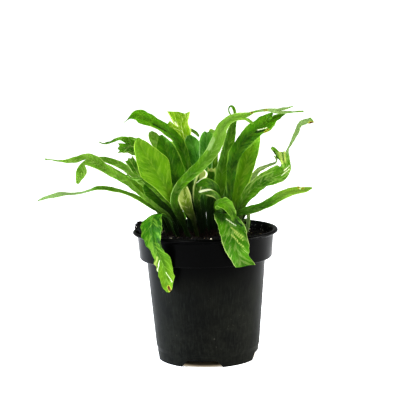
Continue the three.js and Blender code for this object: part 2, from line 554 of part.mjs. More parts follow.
// Grows one stretch of blade into the mesh. A prong starts from its share of the row where the blade split.
function growStretch(mesh, frond, quads, share, parentFace) {
  const rows = share ? [[...share.centre.toArray(), share.half], ...midrib(frond)] : midrib(frond);
  const faces = frond.face ?? [parentFace, parentFace];
  const [height, waves, phase] = frond.ripple ?? [0, 1, 0];
  const [scallop, scallops] = frond.lobes ?? [0, 1];
  let upper = share?.upper;
  let lower = share?.lower;
  let last = null;
  for (const station of stations(rows, (total) => Math.max(2, Math.round(total / (frond.step ?? STATION))))) {
    const { u, distance, point, half, along } = station;
    const face = new THREE.Vector3(...blend(faces, u));
    face.addScaledVector(along, -face.dot(along)).normalize();
    const side = along.clone().cross(face);
    last = { face, side, point, half };
    if (share && u === 0) continue;
    const stalk = share ? 0 : 1 - ease(distance / STALK_LENGTH);
    const calm = share ? 1 : ease((distance - STALK_LENGTH * 0.4) / STALK_LENGTH);
    const rowUpper = [];
    const rowLower = [];
    for (let i = 0; i <= quads; i++) {
      const t = -1 + (2 * i) / quads;
      const reach = half * t * (1 + scallop * calm * Math.sin(2 * Math.PI * scallops * u + (t > 0 ? 1.7 : 0)));
      const wave = height * calm * Math.sin(2 * Math.PI * (waves * u + phase) + (t > 0 ? 2.2 : 0));
      const lift = frond.cup !== undefined ? frond.cup * half * t * t : 0;
      const tooth = frond.teeth ? blend(frond.teeth.map((x) => [x]), (t + 1) / 2)[0] * ease((u - 0.6) / 0.4) : 0;
      const middle = point.clone().addScaledVector(side, reach).addScaledVector(along, tooth)
        .addScaledVector(face, lift * calm + wave * Math.min(half / 5, 1) * Math.abs(t) ** 1.5);
      const blade = BLADE_EDGE + (BLADE_RIB - BLADE_EDGE) * (1 - Math.abs(t)) ** 2 * Math.min(half / 3, 1);
      const stem = STALK_THICK * Math.sqrt(1 - 0.8 * t * t);
      const thick = blade + (stem - blade) * stalk;
      rowUpper.push(mesh.vertex(middle.clone().addScaledVector(face, thick / 2)));
      rowLower.push(mesh.vertex(middle.clone().addScaledVector(face, -thick / 2)));
    }
    if (upper) {
      for (let i = 0; i < quads; i++) {
        mesh.quad(upper[i], upper[i + 1], rowUpper[i + 1], rowUpper[i]);
        mesh.quad(lower[i], rowLower[i], rowLower[i + 1], lower[i + 1]);
      }
      mesh.quad(upper[0], rowUpper[0], rowLower[0], lower[0]);
      mesh.quad(lower[quads], rowLower[quads], rowUpper[quads], upper[quads]);
    } else {
      for (let i = 0; i < quads; i++) mesh.quad(rowLower[i], rowLower[i + 1], rowUpper[i + 1], rowUpper[i]);
    }
    upper = rowUpper;
    lower = rowLower;
  }
  if (!frond.fork) {
    for (let i = 0; i < quads; i++) mesh.quad(upper[i], upper[i + 1], lower[i + 1], lower[i]);
    return;
  }
  const offset = (prong) => new THREE.Vector3(...midrib(prong)[0]).sub(last.point).dot(last.side);
  let column = 0;
  for (const prong of [...frond.fork].sort((a, b) => offset(a) - offset(b))) {
    const width = quadsAcross(prong);
    const middle = -1 + (2 * column + width) / quads;
    growStretch(mesh, { cup: frond.cup, ...prong }, width, {
      upper: upper.slice(column, column + width + 1),
      lower: lower.slice(column, column + width + 1),
      centre: last.point.clone().addScaledVector(last.side, last.half * middle),
      half: (last.half * width) / quads,
    }, last.face.toArray());
    column += width;
  }
}

function frondGeometry(frond) {
  const position = [];
  const index = [];
  const mesh = {
    vertex(p) {
      position.push(p.x, p.y, p.z);
      return position.length / 3 - 1;
    },
    quad(a, b, c, d) {
      index.push(a, b, c, a, c, d);
    },
  };
  growStretch(mesh, frond, Math.max(widest(frond) > NARROW ? 4 : 2, quadsAcross(frond)), null, null);
  const geometry = new THREE.BufferGeometry();
  geometry.setAttribute('position', new THREE.Float32BufferAttribute(position, 3));
  geometry.setIndex(index);
  return geometry;
}

// The plain round hole that a stalk stands in: a tube that follows the stalk from just under its end.
function socketSolid(frond) {
  const rows = midrib(frond);
  const start = stations(rows, (total) => Math.round(total / 2));
  const wanted = [0, SOCKET.depth].map((d) => start.find((s) => s.distance >= d - 0.01));
  const position = [];
  const index = [];
  wanted.forEach(({ point, along }, ring) => {
    const across = new THREE.Vector3(1, 0, 0).cross(along).normalize();
    const up = along.clone().cross(across);
    const centre = ring === 0 ? point.clone().addScaledVector(along, -GAP * 2) : point;
    for (let i = 0; i < SOCKET.sides; i++) {
      const a = (2 * Math.PI * i) / SOCKET.sides;
      const p = centre.clone().addScaledVector(across, SOCKET.radius * Math.cos(a))
        .addScaledVector(up, SOCKET.radius * Math.sin(a));
      position.push(p.x, p.y, p.z);
    }
  });
  const n = SOCKET.sides;
  for (let ring = 0; ring + 1 < wanted.length; ring++) {
    for (let i = 0; i < n; i++) {
      const [a, b] = [ring * n + i, ring * n + ((i + 1) % n)];
      index.push(a, b, b + n, a, b + n, a + n);
    }
  }
  for (let i = 1; i + 1 < n; i++) {
    index.push(0, i + 1, i);
    const top = (wanted.length - 1) * n;
    index.push(top, top + i, top + i + 1);
  }
  const geometry = new THREE.BufferGeometry();
  geometry.setAttribute('position', new THREE.Float32BufferAttribute(position, 3));
  geometry.setIndex(index);
  return solidOf(geometry);
}

// ---- The pot -------------------------------------------------------------------------------------------------
// Radius of the pot's inside at a height.
function insideRadius(z) {
  if (z < COLLAR_BOTTOM_Z + 0.8) {
    return FOOT_RADIUS + (BODY_TOP_RADIUS - FOOT_RADIUS) * (z / COLLAR_BOTTOM_Z) - WALL;
  }
  return COLLAR_RADIUS - WALL + (z - COLLAR_BOTTOM_Z) * 0.075;
}

function potSolid() {
  const lipTop = POT_HEIGHT;
  const outline = [
    [0, FLOOR_Z - FLOOR_THICKNESS], [FOOT_RADIUS - 2.6, FLOOR_Z - FLOOR_THICKNESS],
      [FOOT_RADIUS - WALL - 0.3, FLOOR_Z - 3],
    [FOOT_RADIUS - WALL, 0], [FOOT_RADIUS, 0], [FOOT_RADIUS + 0.2, 8], [FOOT_RADIUS + 1.2, 11.5],
    [BODY_TOP_RADIUS, COLLAR_BOTTOM_Z + 0.3], [COLLAR_RADIUS - 0.8, COLLAR_BOTTOM_Z],
      [COLLAR_RADIUS, COLLAR_BOTTOM_Z + 0.9],
    [COLLAR_RADIUS + 1.4, lipTop - 4], [LIP_RADIUS - 1.2, lipTop - 3], [LIP_RADIUS, lipTop - 2.2],
    [LIP_RADIUS, lipTop - 1.1], [LIP_RADIUS - 0.9, lipTop - 0.1], [LIP_RADIUS - 2.2, lipTop],
    [LIP_RADIUS - 3.6, lipTop - 0.7], [insideRadius(lipTop - 3), lipTop - 3],
    [insideRadius(COLLAR_BOTTOM_Z + 1.6), COLLAR_BOTTOM_Z + 1.6],
      [insideRadius(COLLAR_BOTTOM_Z), COLLAR_BOTTOM_Z + 1],
    [insideRadius(FLOOR_Z), FLOOR_Z], [0, FLOOR_Z],
  ];
  let pot = turned(outline, POT_SIDES);
  const wide = NOTCH.width / 2;
  const notchShape = new THREE.Shape([
    [-wide, -1], [wide, -1], [wide, 0], [wide - NOTCH.slope, NOTCH.height],
      [NOTCH.slope - wide, NOTCH.height], [-wide, 0],
  ].map(([x, z]) => new THREE.Vector2(x, z)));
  const slot = new THREE.Shape().absarc(FOOT_RADIUS - 6, 0, DRAIN.width / 2, -Math.PI / 2, Math.PI / 2)
    .absarc(DRAIN.inner, 0, DRAIN.width / 2, Math.PI / 2, (3 * Math.PI) / 2);
  for (let i = 0; i < NOTCH.count; i++) {
    const turn = THREE.MathUtils.degToRad(NOTCH.turn + (360 * i) / NOTCH.count);
    // The notch's outline stands in the XZ plane and is pushed out through the foot towards -Y, then turned.
    const notch = new THREE.ExtrudeGeometry(notchShape, { depth: 12, bevelEnabled: false }).rotateX(Math.PI / 2)
      .translate(0, -FOOT_RADIUS + 8, 0).rotateZ(turn);
    pot = pot.subtract(solidOf(notch));
    const drain = new THREE.ExtrudeGeometry(slot, { depth: 6, bevelEnabled: false, curveSegments: 5 })
      .translate(0, 0, FLOOR_Z - 4).rotateZ(turn - Math.PI / 2);
    pot = pot.subtract(solidOf(drain));
  }
  const centreHole = new THREE.CylinderGeometry(DRAIN.centre, DRAIN.centre, 6, 16).rotateX(Math.PI / 2)
    .translate(0, 0, FLOOR_Z - 1);
  return pot.subtract(solidOf(centreHole));
}

// ---- Rhizome and potting mix ---------------------------------------------------------------------------------
const RHIZOME_LUMPS = [
  { at: [-20, 2], size: [13, 14, 8] }, { at: [-8, -9], size: [14, 12, 8.5] }, { at: [-8, 13], size: [14, 14, 9] },
  { at: [8, -8], size: [15, 13, 8.5] }, { at: [6, 15], size: [14, 13, 9] }, { at: [21, 2], size: [13, 16, 8] },
];
const RHIZOME_Z = 96.5;

const lump = ({ at, size }, extra, detail) => solidOf(new THREE.IcosahedronGeometry(1, detail)
  .scale(size[0] + extra, size[1] + extra, size[2] + extra).translate(at[0], at[1], RHIZOME_Z));

function rhizomeSolid(sockets) {
  return largest(join(RHIZOME_LUMPS.map((l) => lump(l, 0, 1))).subtract(sockets));
}

function soilSolid(sockets) {
  const edge = (z) => insideRadius(z) - GAP;
  const outline = [
    [0, FLOOR_Z + GAP], [edge(FLOOR_Z), FLOOR_Z + GAP], [edge(COLLAR_BOTTOM_Z), COLLAR_BOTTOM_Z + 1],
    [edge(COLLAR_BOTTOM_Z), COLLAR_BOTTOM_Z + 2.2],
      [edge(COLLAR_BOTTOM_Z + 3) - 0.1, COLLAR_BOTTOM_Z + 2.2],
    [edge(SOIL_EDGE_Z), SOIL_EDGE_Z - 1], [edge(SOIL_EDGE_Z) - 8, SOIL_EDGE_Z + SOIL_MOUND * 0.4],
    [28, SOIL_EDGE_Z + SOIL_MOUND * 0.9], [0, SOIL_EDGE_Z + SOIL_MOUND],
  ];
  const plug = turned(outline, 28);
  const draw = dice(7);
  const crumbs = [];
  const crumb = (x, y, z, r) => solidOf(new THREE.OctahedronGeometry(r, 0)
    .rotateX(draw() * 3).rotateY(draw() * 3).scale(1, 0.7 + 0.5 * draw(), 0.8).translate(x, y, z));
  for (let i = 0; i < CRUMBS; i++) {
    const far = 22 + 30 * Math.sqrt(draw());
    const around = 2 * Math.PI * draw();
    crumbs.push(crumb(far * Math.cos(around), far * Math.sin(around), SOIL_EDGE_Z + 0.6, 1.6 + 2.4 * draw() ** 2));
  }
  // A few clods lie heaped against the left rim and rise above it.
  for (const [x, y, z, r] of [[-51, -8, 103, 6], [-53, -2, 106, 5.5], [-51, 4, 107, 6.5],
      [-50, 11, 103, 6], [-54, 2, 110, 3.5]]) {
    crumbs.push(crumb(x, y, z, r));
  }
  // No crumb reaches the pot: a ring the shape of its rim, a gap larger, is cut from them.
  const rim = turned([
    [edge(SOIL_EDGE_Z - 12), SOIL_EDGE_Z - 12], [LIP_RADIUS + 5, SOIL_EDGE_Z - 12],
      [LIP_RADIUS + 5, POT_HEIGHT + GAP],
    [LIP_RADIUS - 4, POT_HEIGHT + GAP], [edge(POT_HEIGHT - 3), POT_HEIGHT - 3],
      [edge(SOIL_EDGE_Z - 12), SOIL_EDGE_Z - 12],
  ], 40);
  const grains = join(crumbs).subtract(rim);
  const hollow = join(RHIZOME_LUMPS.map((l) => lump(l, GAP, 1)));
  return largest(plug.add(grains).subtract(hollow).subtract(sockets));
}

// ---- The whole part ------------------------------------------------------------------------------------------
const group = new THREE.Group();
function addNode(name, geometry, color, roughness) {
  const placed = geometry.translate(POT_AXIS[0], POT_AXIS[1], 0);
  const mesh = new THREE.Mesh(placed, new THREE.MeshStandardMaterial({ color, roughness, metalness: 0 }));
  mesh.name = name;
  group.add(mesh);
}

const fronds = { ...FRONDS };
BACK.forEach((frond, i) => {
  fronds['back_arch_' + (i + 1)] = archedFrond(frond, i);
});
const sockets = join(Object.values(fronds).map(socketSolid));

addNode('pot', geometryOf(potSolid()), 0x151716, 0.45);
addNode('potting_mix', geometryOf(soilSolid(sockets)), 0x1d1712, 1);
addNode('rhizome', geometryOf(rhizomeSolid(sockets)), 0x3a2a1a, 0.95);
for (const [name, frond] of Object.entries(fronds)) {
  addNode('frond_' + name, frondGeometry(frond), 0x4a8a1c, 0.5);
}

export default group;
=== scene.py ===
"""A crested, variegated strap fern in a black nursery pot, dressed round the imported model.

Lengths in the tables are millimetres about the pot's axis, with +Z up and the front of the plant facing -Y,
as in the part's own source. Every finished piece is in metres in the row's frame.
"""
import json
import math

import bmesh
import bpy
import numpy as np
from mathutils import Euler, Matrix, Vector, noise

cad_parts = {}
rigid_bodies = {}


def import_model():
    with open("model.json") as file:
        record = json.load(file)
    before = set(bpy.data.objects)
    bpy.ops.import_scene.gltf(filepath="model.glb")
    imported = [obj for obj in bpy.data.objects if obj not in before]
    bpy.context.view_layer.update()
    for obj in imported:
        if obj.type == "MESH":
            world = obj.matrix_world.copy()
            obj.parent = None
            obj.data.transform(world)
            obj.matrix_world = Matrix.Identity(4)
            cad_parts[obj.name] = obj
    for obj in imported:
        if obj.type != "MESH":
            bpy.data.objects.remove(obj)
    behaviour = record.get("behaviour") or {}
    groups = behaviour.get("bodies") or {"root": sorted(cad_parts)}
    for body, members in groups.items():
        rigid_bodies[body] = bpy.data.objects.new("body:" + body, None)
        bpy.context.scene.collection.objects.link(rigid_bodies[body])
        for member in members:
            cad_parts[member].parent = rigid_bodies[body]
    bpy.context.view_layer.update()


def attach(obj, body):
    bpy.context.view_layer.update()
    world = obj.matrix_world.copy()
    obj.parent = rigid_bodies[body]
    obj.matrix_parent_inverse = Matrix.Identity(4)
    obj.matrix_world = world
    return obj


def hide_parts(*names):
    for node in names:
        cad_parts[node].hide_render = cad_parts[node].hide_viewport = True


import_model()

MM = 0.001
POT_AXIS = (25.5, -34.6)

# ---- The pot's sizes ----
LIP_RADIUS = 60.0
POT_HEIGHT = 107.4
COLLAR_BOTTOM_Z = 84.0
COLLAR_RADIUS = 54.9
BODY_TOP_RADIUS = 49.4
FOOT_RADIUS = 42.0
WALL = 1.2
FLOOR_Z = 7.0
FLOOR_THICKNESS = 1.5
COLLAR_STEP = 0.8  # how far over the collar's bottom the wall steps out on the inside
COLLAR_FLARE = 0.075  # how far the collar widens for each mm up
NOTCHES = {"count": 4, "width": 34.0, "height": 5.6, "slope": 5.0, "turn": -7.0, "ease": 1.2}
DRAIN = {"width": 8.0, "inner": 26.0, "outer": 36.0, "centre": 5.0}
GATE_PIP = {"place": (0.7, -48.2, 72), "half": (0.8, 0.45, 0.8)}  # what the mould leaves below the collar
POT_EASE = 0.45  # radius of the arcs at the pot's corners
POT_SIDES = 144

# ---- The soil's and the rhizome's sizes ----
GAP = 0.3  # between the soil and the pot
SOIL_EDGE_Z = 100.0
SOIL_MOUND = 2.5  # how much higher the soil stands in the middle
SOIL_SIDES = 132
SOIL_RINGS = 42
# Heaped over the left rim: the middle of each clod and its radius.
CLODS = [(-51, -8, 103, 6), (-53, -2, 106, 5.5), (-51, 4, 107, 6.5), (-50, 11, 103, 6), (-54, 2, 110, 3.5)]
RHIZOME_Z = 96.5
# The middle of each knob, and its half sizes.
RHIZOME_LUMPS = [
    ((-20, 2), (13, 14, 8)), ((-8, -9), (14, 12, 8.5)), ((-8, 13), (14, 14, 9)),
    ((8, -8), (15, 13, 8.5)), ((6, 15), (14, 13, 9)), ((21, 2), (13, 16, 8)),
]

# ---- The fronds' sizes ----
ROOT_Z = 94.0  # where the stalks begin, down in their sockets
STALK_HALF = 1.5
STALK_THICK = 2.4
STALK_LENGTH = 45.0  # over which a stalk turns into blade
STALK_ROUNDING = 0.8  # how round a stalk is across, from 0 for a slab to 1 for a full oval
BLADE_EDGE = 0.4  # how thick a blade is at its margin
BLADE_RIB = 1.2  # and along its rib
RIB_SPREAD = 1.1  # how far out from its middle the rib swells the blade
RIB_FULL_FROM = 2.0  # half width of a blade from which its rib is full
CALM_SHARE = 0.4  # share of the stalk's length after which the blade begins to cup and wave
WAVES_FULL_FROM = 5.0  # half width from which the waves are full
LOBES_APART = 1.7  # how far, in radians, the lobes of the two margins are out of step
WAVES_APART = 2.2  # and their waves
TEETH_FROM = 0.6  # share of a blade after which its end runs out into teeth
NARROW = 3.0  # half width past which a blade is laid four coarse quads across instead of two
BACK_TIP_HALF = 0.7  # half width at the tips of the far side's fronds
STATION = 10.5  # how far apart the source's stations are along a midrib
SAMPLES = 16  # places between two points of a midrib at which its length is taken
ROWS_A_STATION = 3  # control rows laid for each of the source's stations
ROW_STEP = 1.1  # finished rows
ACROSS_STEP = 0.85  # finished quads across a blade

# ---- The blades' relief ----
VEIN_SPACING = 3.2
VEIN_SWEEP = 1.3  # how far a side vein runs towards the tip for each mm that it runs out from the rib
VEIN_HEIGHT = 0.06
RIPPLE = {"height": 1.6, "length": 11.0}
CRINKLE = 1.6
DRAW_STEP = 7.31  # sets each frond's patterns apart from the last one's

# ---- The fronds ----
EYE = {"across": 2.6, "up": 250.0, "distance": 917.0}  # where the photograph was taken from
# root: where the stalk stands. sight: points along the midrib, [across, up, depth, half width], read on the
# upright plane through the pot's axis; depth is how far behind it the point is. face: the way the upper
# side looks, spread from stalk to tip. cup: how far the margins rise. ripple: [height, number, phase] of
# the waves in the margins. lobes: [share, number] of scallops. teeth: how far the end runs out at even
# steps across. fork: the prongs. step: how far apart the source's stations are, where that isn't STATION.
FRONDS = {
    "left_forked": {
        "root": [-22, -4],
        "sight": [
            [-29, 116, -6, 1.8], [-39, 125.5, -9, 1.8], [-48, 133.2, -12, 1.8], [-56, 140.1, -14, 2],
            [-63, 146.6, -16, 2.4], [-70, 151.6, -18, 2.9], [-76.5, 155.4, -19, 3.3],
            [-82.5, 159.6, -20, 4.2], [-88.5, 164, -21, 5.8], [-95, 166.6, -22, 5.8],
        ],
        "face": [[-0.3, -1, 0.5], [0, -0.9, 0.5], [0, -0.9, 0.6]],
        "cup": 0.12,
        "ripple": [1, 2.5, 0],
        "fork": [
            {
                "sight": [
                    [-100, 160.6, -25, 5.2], [-101.2, 155.8, -27, 4.4], [-103.2, 150.8, -27, 2.6],
                    [-104.7, 147, -27, 0.9],
                ],
            },
            {
                "sight": [
                    [-103.5, 167.2, -23, 2.9], [-110, 166, -24, 2], [-117, 166, -25, 0.9],
                    [-123, 167, -25, 0.5], [-130.3, 168, -25, 0.4],
                ],
            },
        ],
    },
    "left_behind": {
        "root": [-18, 9],
        "sight": [
            [-26, 120, 10, 2], [-38, 134, 13, 2.4], [-50, 146, 16, 2.8], [-59, 154.4, 19, 3],
            [-66, 160, 21, 2.9], [-73, 163.8, 22, 2.9], [-80, 166, 22, 2.5], [-87, 167.2, 22, 1.8],
            [-93, 167.8, 22, 0.6],
        ],
        "face": [[-0.3, -0.8, 0.6], [0, -0.8, 0.6]],
        "cup": 0.15,
        "ripple": [0.8, 2, 0.3],
    },
    "left_low": {
        "root": [-25, 4],
        "sight": [
            [-33, 117.5, 6, 1.8], [-44, 126.4, 9, 2.6], [-56, 134, 12, 3.6], [-68, 139.4, 14, 3.8],
            [-79, 142.2, 15, 3.4], [-88, 142.6, 16, 3], [-96, 140.6, 17, 2.3], [-103, 138.8, 18, 2.6],
            [-111, 138.4, 19, 3.4], [-119, 138.4, 20, 4], [-129, 136.4, 20, 2.6], [-138, 133.6, 20, 0.5],
        ],
        "face": [[-0.4, -0.3, 0.9], [0, -0.3, 1], [0, -0.3, 1], [-0.1, -0.45, 1]],
        "cup": 0.15,
        "ripple": [0.7, 3, 0],
    },
    "left_hanging": {
        "root": [-19, -12],
        "sight": [
            [-27, 113, -18, 1.8], [-32.5, 118, -24, 2.8], [-38, 120, -31, 4.8], [-42.6, 117.4, -39, 7.4],
            [-44.2, 111.5, -47, 8.9], [-44, 104, -51, 8.8], [-42.8, 96, -51.8, 7],
            [-40.2, 89.4, -51.3, 6.6], [-37, 82.5, -50, 7.5], [-34.4, 74.5, -47.5, 7.2],
            [-33, 66.5, -45.5, 6.5], [-32.3, 59, -43.5, 4.7], [-32, 54.2, -43, 1.6],
        ],
        "face": [[-0.2, -0.4, 1], [-0.3, -0.5, 0.9], [-0.4, -0.9, 0.2], [-0.5, -0.85, 0.1]],
        "cup": 0.1,
        "ripple": [1.4, 3, 0.2],
    },
    "broad_front": {
        "root": [-13, -11],
        "sight": [
            [-18.5, 116, -14, 2], [-23.5, 127.6, -17, 3.2], [-30.2, 138, -20, 5.2],
            [-34.7, 147.4, -22, 8.4], [-37.8, 152.8, -23, 11.2], [-40.8, 158.4, -24.5, 13],
            [-44.4, 164.6, -25.5, 11.7], [-47.9, 170.6, -26, 9.1], [-51.2, 177, -26, 6.4],
            [-53.2, 181, -25, 3.7], [-54, 183.7, -25, 1.1],
        ],
        "face": [[-0.2, -1, 0.3], [0.1, -1, 0.3], [0.05, -1, 0.35]],
        "cup": 0.14,
        "ripple": [1.2, 2, 0.4],
    },
    "left_crest": {
        "root": [-15, 14],
        "sight": [
            [-21, 124, 16, 2.2], [-28, 142, 18, 3], [-36, 157.5, 20, 4.4], [-45, 168.6, 21, 5.8],
            [-53, 174.4, 21, 6.6], [-60, 177.2, 21, 6.9],
        ],
        "face": [[-0.3, -1, 0.3], [0, -1, 0.4]],
        "cup": 0.15,
        "ripple": [1.3, 3, 0],
        "fork": [
            {"sight": [[-65, 175.2, 20, 4.4], [-69.8, 175.4, 20, 4.3]], "teeth": [1, -1.2, 0.8, -0.8, 0.6]},
            {
                "sight": [
                    [-66.8, 183.2, 21, 1.9], [-72, 182.7, 22, 1.3], [-76.5, 180.7, 22, 1],
                    [-81, 179.3, 23, 0.9], [-85.3, 181.3, 23, 0.5],
                ],
            },
        ],
    },
    "left_split": {
        "root": [-16, 3],
        "sight": [[-23, 120, 0, 1.8], [-34, 133.6, -2, 2], [-44, 144, -4, 2.1], [-50, 149.4, -5, 2.3]],
        "face": [[-0.3, -1, 0.3], [0, -1, 0.4]],
        "cup": 0.2,
        "ripple": [0.6, 2, 0],
        "fork": [
            {
                "sight": [[-54.4, 155.4, -6, 3], [-58.2, 161.2, -7, 3.9], [-61.6, 166.6, -7, 3.8]],
                "teeth": [0.4, -0.6, 0.8, -0.8, 0.6],
            },
            {"sight": [[-55.4, 149.2, -4, 1], [-59.8, 150.8, -3, 1], [-63.6, 153.8, -3, 0.6]]},
        ],
    },
    "high_left_arch": {
        "root": [-8, 12],
        "sight": [
            [-9.5, 128, 15, 2.2], [-12, 150, 17, 2.8], [-15.5, 168, 18, 3.6], [-21.5, 181, 18, 4.3],
            [-30, 189.2, 17, 4.5], [-38.4, 195.2, 16, 4.8], [-46, 198.9, 15, 5.5], [-51.6, 200.9, 14, 5.6],
            [-55.4, 201.6, 13, 3.7], [-59.5, 200.2, 12, 1], [-64.8, 196.4, 12, 0.4],
        ],
        "face": [[-0.2, -1, 0.3], [0, -0.9, 0.5], [0, -0.9, 0.5]],
        "cup": 0.2,
        "ripple": [1.3, 3, 0.1],
    },
    "high_fan": {
        "root": [-3, 15],
        "sight": [
            [-5.8, 126.5, 19.8, 2.5], [-9, 150, 23, 3.2], [-13, 173, 27, 4.4], [-16.2, 186.6, 28, 6.6],
        ],
        "face": [[-0.1, -1, 0.2], [0, -1, 0.3]],
        "cup": 0.15,
        "ripple": [0.8, 2, 0],
        "fork": [
            {
                "sight": [[-17, 193, 28.5, 4.9], [-18.4, 198.4, 29, 7.1], [-19.6, 203.8, 29, 9.3]],
                "teeth": [3.4, 1.9, 0.6, -2.2, -1.4],
            },
            {"sight": [[-23, 190.6, 27.5, 1.9], [-25.8, 193.2, 27, 2], [-28.4, 195.4, 27, 2]]},
        ],
    },
    "pale_arc": {
        "root": [-9, 19],
        "sight": [
            [-11, 130, 26, 2.2], [-15, 155, 31, 2.2], [-22, 178, 34, 1.8], [-25.6, 186.6, 34, 1.5],
            [-23.4, 190.4, 34, 1.3], [-17.5, 190.8, 34, 1.2], [-11.5, 189.8, 34, 1.2],
            [-6.5, 187.2, 33, 1.2], [-3.4, 183.6, 32, 0.6],
        ],
        "face": [[0, -1, 0.3], [0, -1, 0.6]],
        "cup": 0.2,
        "ripple": [0.4, 2, 0],
        "step": 6,
    },
    "round_lobe": {
        "root": [-11, 7],
        "sight": [
            [-14, 128, 9, 1.7], [-20, 148, 11, 2], [-28, 165, 12, 3], [-35, 175.5, 12, 4.4],
            [-39.5, 182, 12, 4.7], [-42, 186.3, 12, 3.4], [-43.2, 188.6, 12, 1.6],
        ],
        "face": [[-0.2, -1, 0.3], [0.1, -1, 0.3]],
        "cup": 0.15,
        "ripple": [0.6, 2, 0],
    },
    "behind_broad": {
        "root": [-8, -3],
        "sight": [
            [-12.5, 116, -5, 2.4], [-17, 129, -6, 4], [-20.8, 141, -7, 6.2], [-24, 154, -8, 8.2],
            [-28, 165.5, -8, 8.8], [-31.2, 174, -8, 7.4], [-33.6, 181, -7, 4.4], [-35, 185.4, -6, 1.6],
        ],
        "face": [[-0.1, -1, 0.2], [0.1, -1, 0.25]],
        "cup": 0.2,
        "ripple": [1.4, 2.5, 0.5],
    },
    "s_curve": {
        "root": [-10, -17],
        "sight": [
            [-18, 112, -21, 2], [-24, 124, -26, 2.8], [-25, 134, -28, 3.3], [-20.5, 143, -30, 3.7],
            [-12, 151.5, -31, 4.1], [-3, 159.4, -31, 4.7], [4.4, 167.4, -31, 5], [9.2, 174.6, -30, 5.3],
            [12.7, 182, -28, 5.1], [15.2, 189.6, -26, 4.6], [20, 195.4, -24, 3.7], [26.5, 198.6, -22, 3.2],
            [33.6, 199, -20, 3.3],
        ],
        "face": [[-0.2, -1, 0.3], [0.3, -1, 0.4], [0.2, -1, 0.2], [0, -0.9, 0.5]],
        "cup": 0.16,
        "ripple": [0.9, 3, 0.2],
        "fork": [
            {"sight": [[37.2, 196, -20, 1.7], [41.2, 192.9, -20, 0.8]]},
            {
                "sight": [
                    [39.4, 201.8, -18, 1.2], [46, 203.6, -16, 0.8], [53, 204, -14, 1.3],
                    [60, 203, -12, 2.1],
                ],
                "fork": [
                    {"sight": [[68, 202.2, -11, 1.1], [74, 202.1, -10.5, 0.7], [82.5, 202.4, -10, 0.4]]},
                    {"sight": [[67, 205, -11, 1], [74, 206.8, -9, 0.4]]},
                ],
            },
        ],
    },
    "heart_left": {
        "root": [0, 9],
        "sight": [
            [-1.5, 120, 11.6, 2.4], [-3.4, 130, 14, 3.6], [-4.2, 147, 18, 4.2], [-5.2, 160, 21, 5.6],
            [-7.2, 169.6, 22, 7.2], [-9.2, 177, 22, 7], [-10.6, 182, 21, 4.8], [-11.4, 184.8, 20, 1.8],
        ],
        "face": [[0, -1, 0.2], [-0.2, -1, 0.3]],
        "cup": 0.25,
        "ripple": [0.5, 2, 0],
    },
    "heart_right": {
        "root": [4, 6],
        "sight": [
            [3.5, 119.5, 8.4, 2.4], [3, 130, 10, 3.6], [2.2, 150, 13, 4.4], [1.6, 164, 14, 5.4],
            [2.2, 174, 14, 6], [2.8, 182, 13, 6], [3.4, 187.4, 12, 4.2],
        ],
        "face": [[0, -1, 0.2], [0.2, -1, 0.3]],
        "cup": 0.2,
        "ripple": [0.6, 2, 0.3],
        "teeth": [-1.2, 0.6, -0.6, 0.6, -1.2],
    },
    "looped": {
        "root": [11, 7],
        "sight": [
            [11.8, 118, 6.4, 2.4], [11.2, 130, 7, 3], [12.6, 140, 8, 4.2], [14.4, 151, 9, 5.2],
            [16.6, 162, 9, 5.2], [19.6, 173, 9, 4.7], [22.6, 184.5, 9, 4.1], [25, 194, 9, 2.4],
            [26.2, 199.6, 9, 1.4], [26.1, 204.2, 9, 1.3], [24.8, 207.2, 9.4, 1], [23, 208, 10, 0.8],
            [21.5, 206.4, 11, 0.7], [21.6, 203.6, 12, 0.7], [22.8, 200.8, 13, 0.5],
        ],
        "face": [[0, -1, 0.2], [0.1, -1, 0.2], [0.3, -1, 0.1], [0, -1, 0.1], [0, -1, 0.1]],
        "cup": 0.2,
        "ripple": [0.6, 2, 0],
        "step": 5,
    },
    "dark_lobed": {
        "root": [15, -4],
        "sight": [
            [18.4, 118, -7, 2.2], [20.7, 135, -10, 2.9], [22.2, 151, -12, 4.1], [24.6, 164.6, -13, 4.8],
            [30, 175, -13, 6.2], [36.6, 182.2, -12, 6.5], [43.4, 187.8, -11, 7.1], [49, 191.8, -10.5, 7.4],
            [53.6, 195, -10, 6],
        ],
        "face": [[0.2, -1, 0.1], [0.2, -1, 0.2], [0, -0.9, 0.4], [0, -0.9, 0.4]],
        "cup": 0.15,
        "ripple": [1, 3, 0.3],
        "lobes": [0.12, 5],
        "fork": [
            {"sight": [[54.6, 199, -10.5, 2.6], [57, 201.6, -10.5, 1.1]]},
            {"sight": [[58.4, 196.8, -9.5, 3.1], [63, 199, -9, 2.4], [67.2, 201.2, -8, 0.9]]},
        ],
    },
    "wide_right": {
        "root": [20, 3],
        "sight": [
            [22.9, 119, 4, 2.7], [25, 129, 5, 5.4], [29, 144, 5, 7.2], [33.4, 157, 5, 7.5],
            [36.8, 168, 4, 7.4], [40, 177.4, 3, 6.8], [43, 184.4, 2, 4.6], [44.8, 189, 1, 1.4],
        ],
        "face": [[0.1, -1, 0.1], [-0.1, -1, 0.2]],
        "cup": 0.2,
        "ripple": [0.8, 2, 0],
    },
    "right_crest": {
        "root": [22, -5],
        "sight": [
            [26, 117, -8, 2.4], [31, 128, -11, 4], [38, 137.5, -14, 5.2], [47, 145, -16, 5.8],
            [55.6, 149.4, -17, 6.8], [62, 151.8, -18, 7.2], [66.4, 154.6, -18, 5.2],
            [67.4, 158.8, -17, 4.1], [66.4, 162.4, -16, 4.4], [65.2, 165.4, -15, 5.2],
        ],
        "face": [[0.1, -1, 0.3], [0.1, -1, 0.3], [0, -1, 0.2], [0.1, -1, 0.1]],
        "cup": 0.12,
        "ripple": [1.1, 3, 0.5],
        "fork": [
            {
                "sight": [
                    [69.6, 171, -13, 0.9], [73, 178.5, -12, 1.2], [76, 184.5, -11, 1.6],
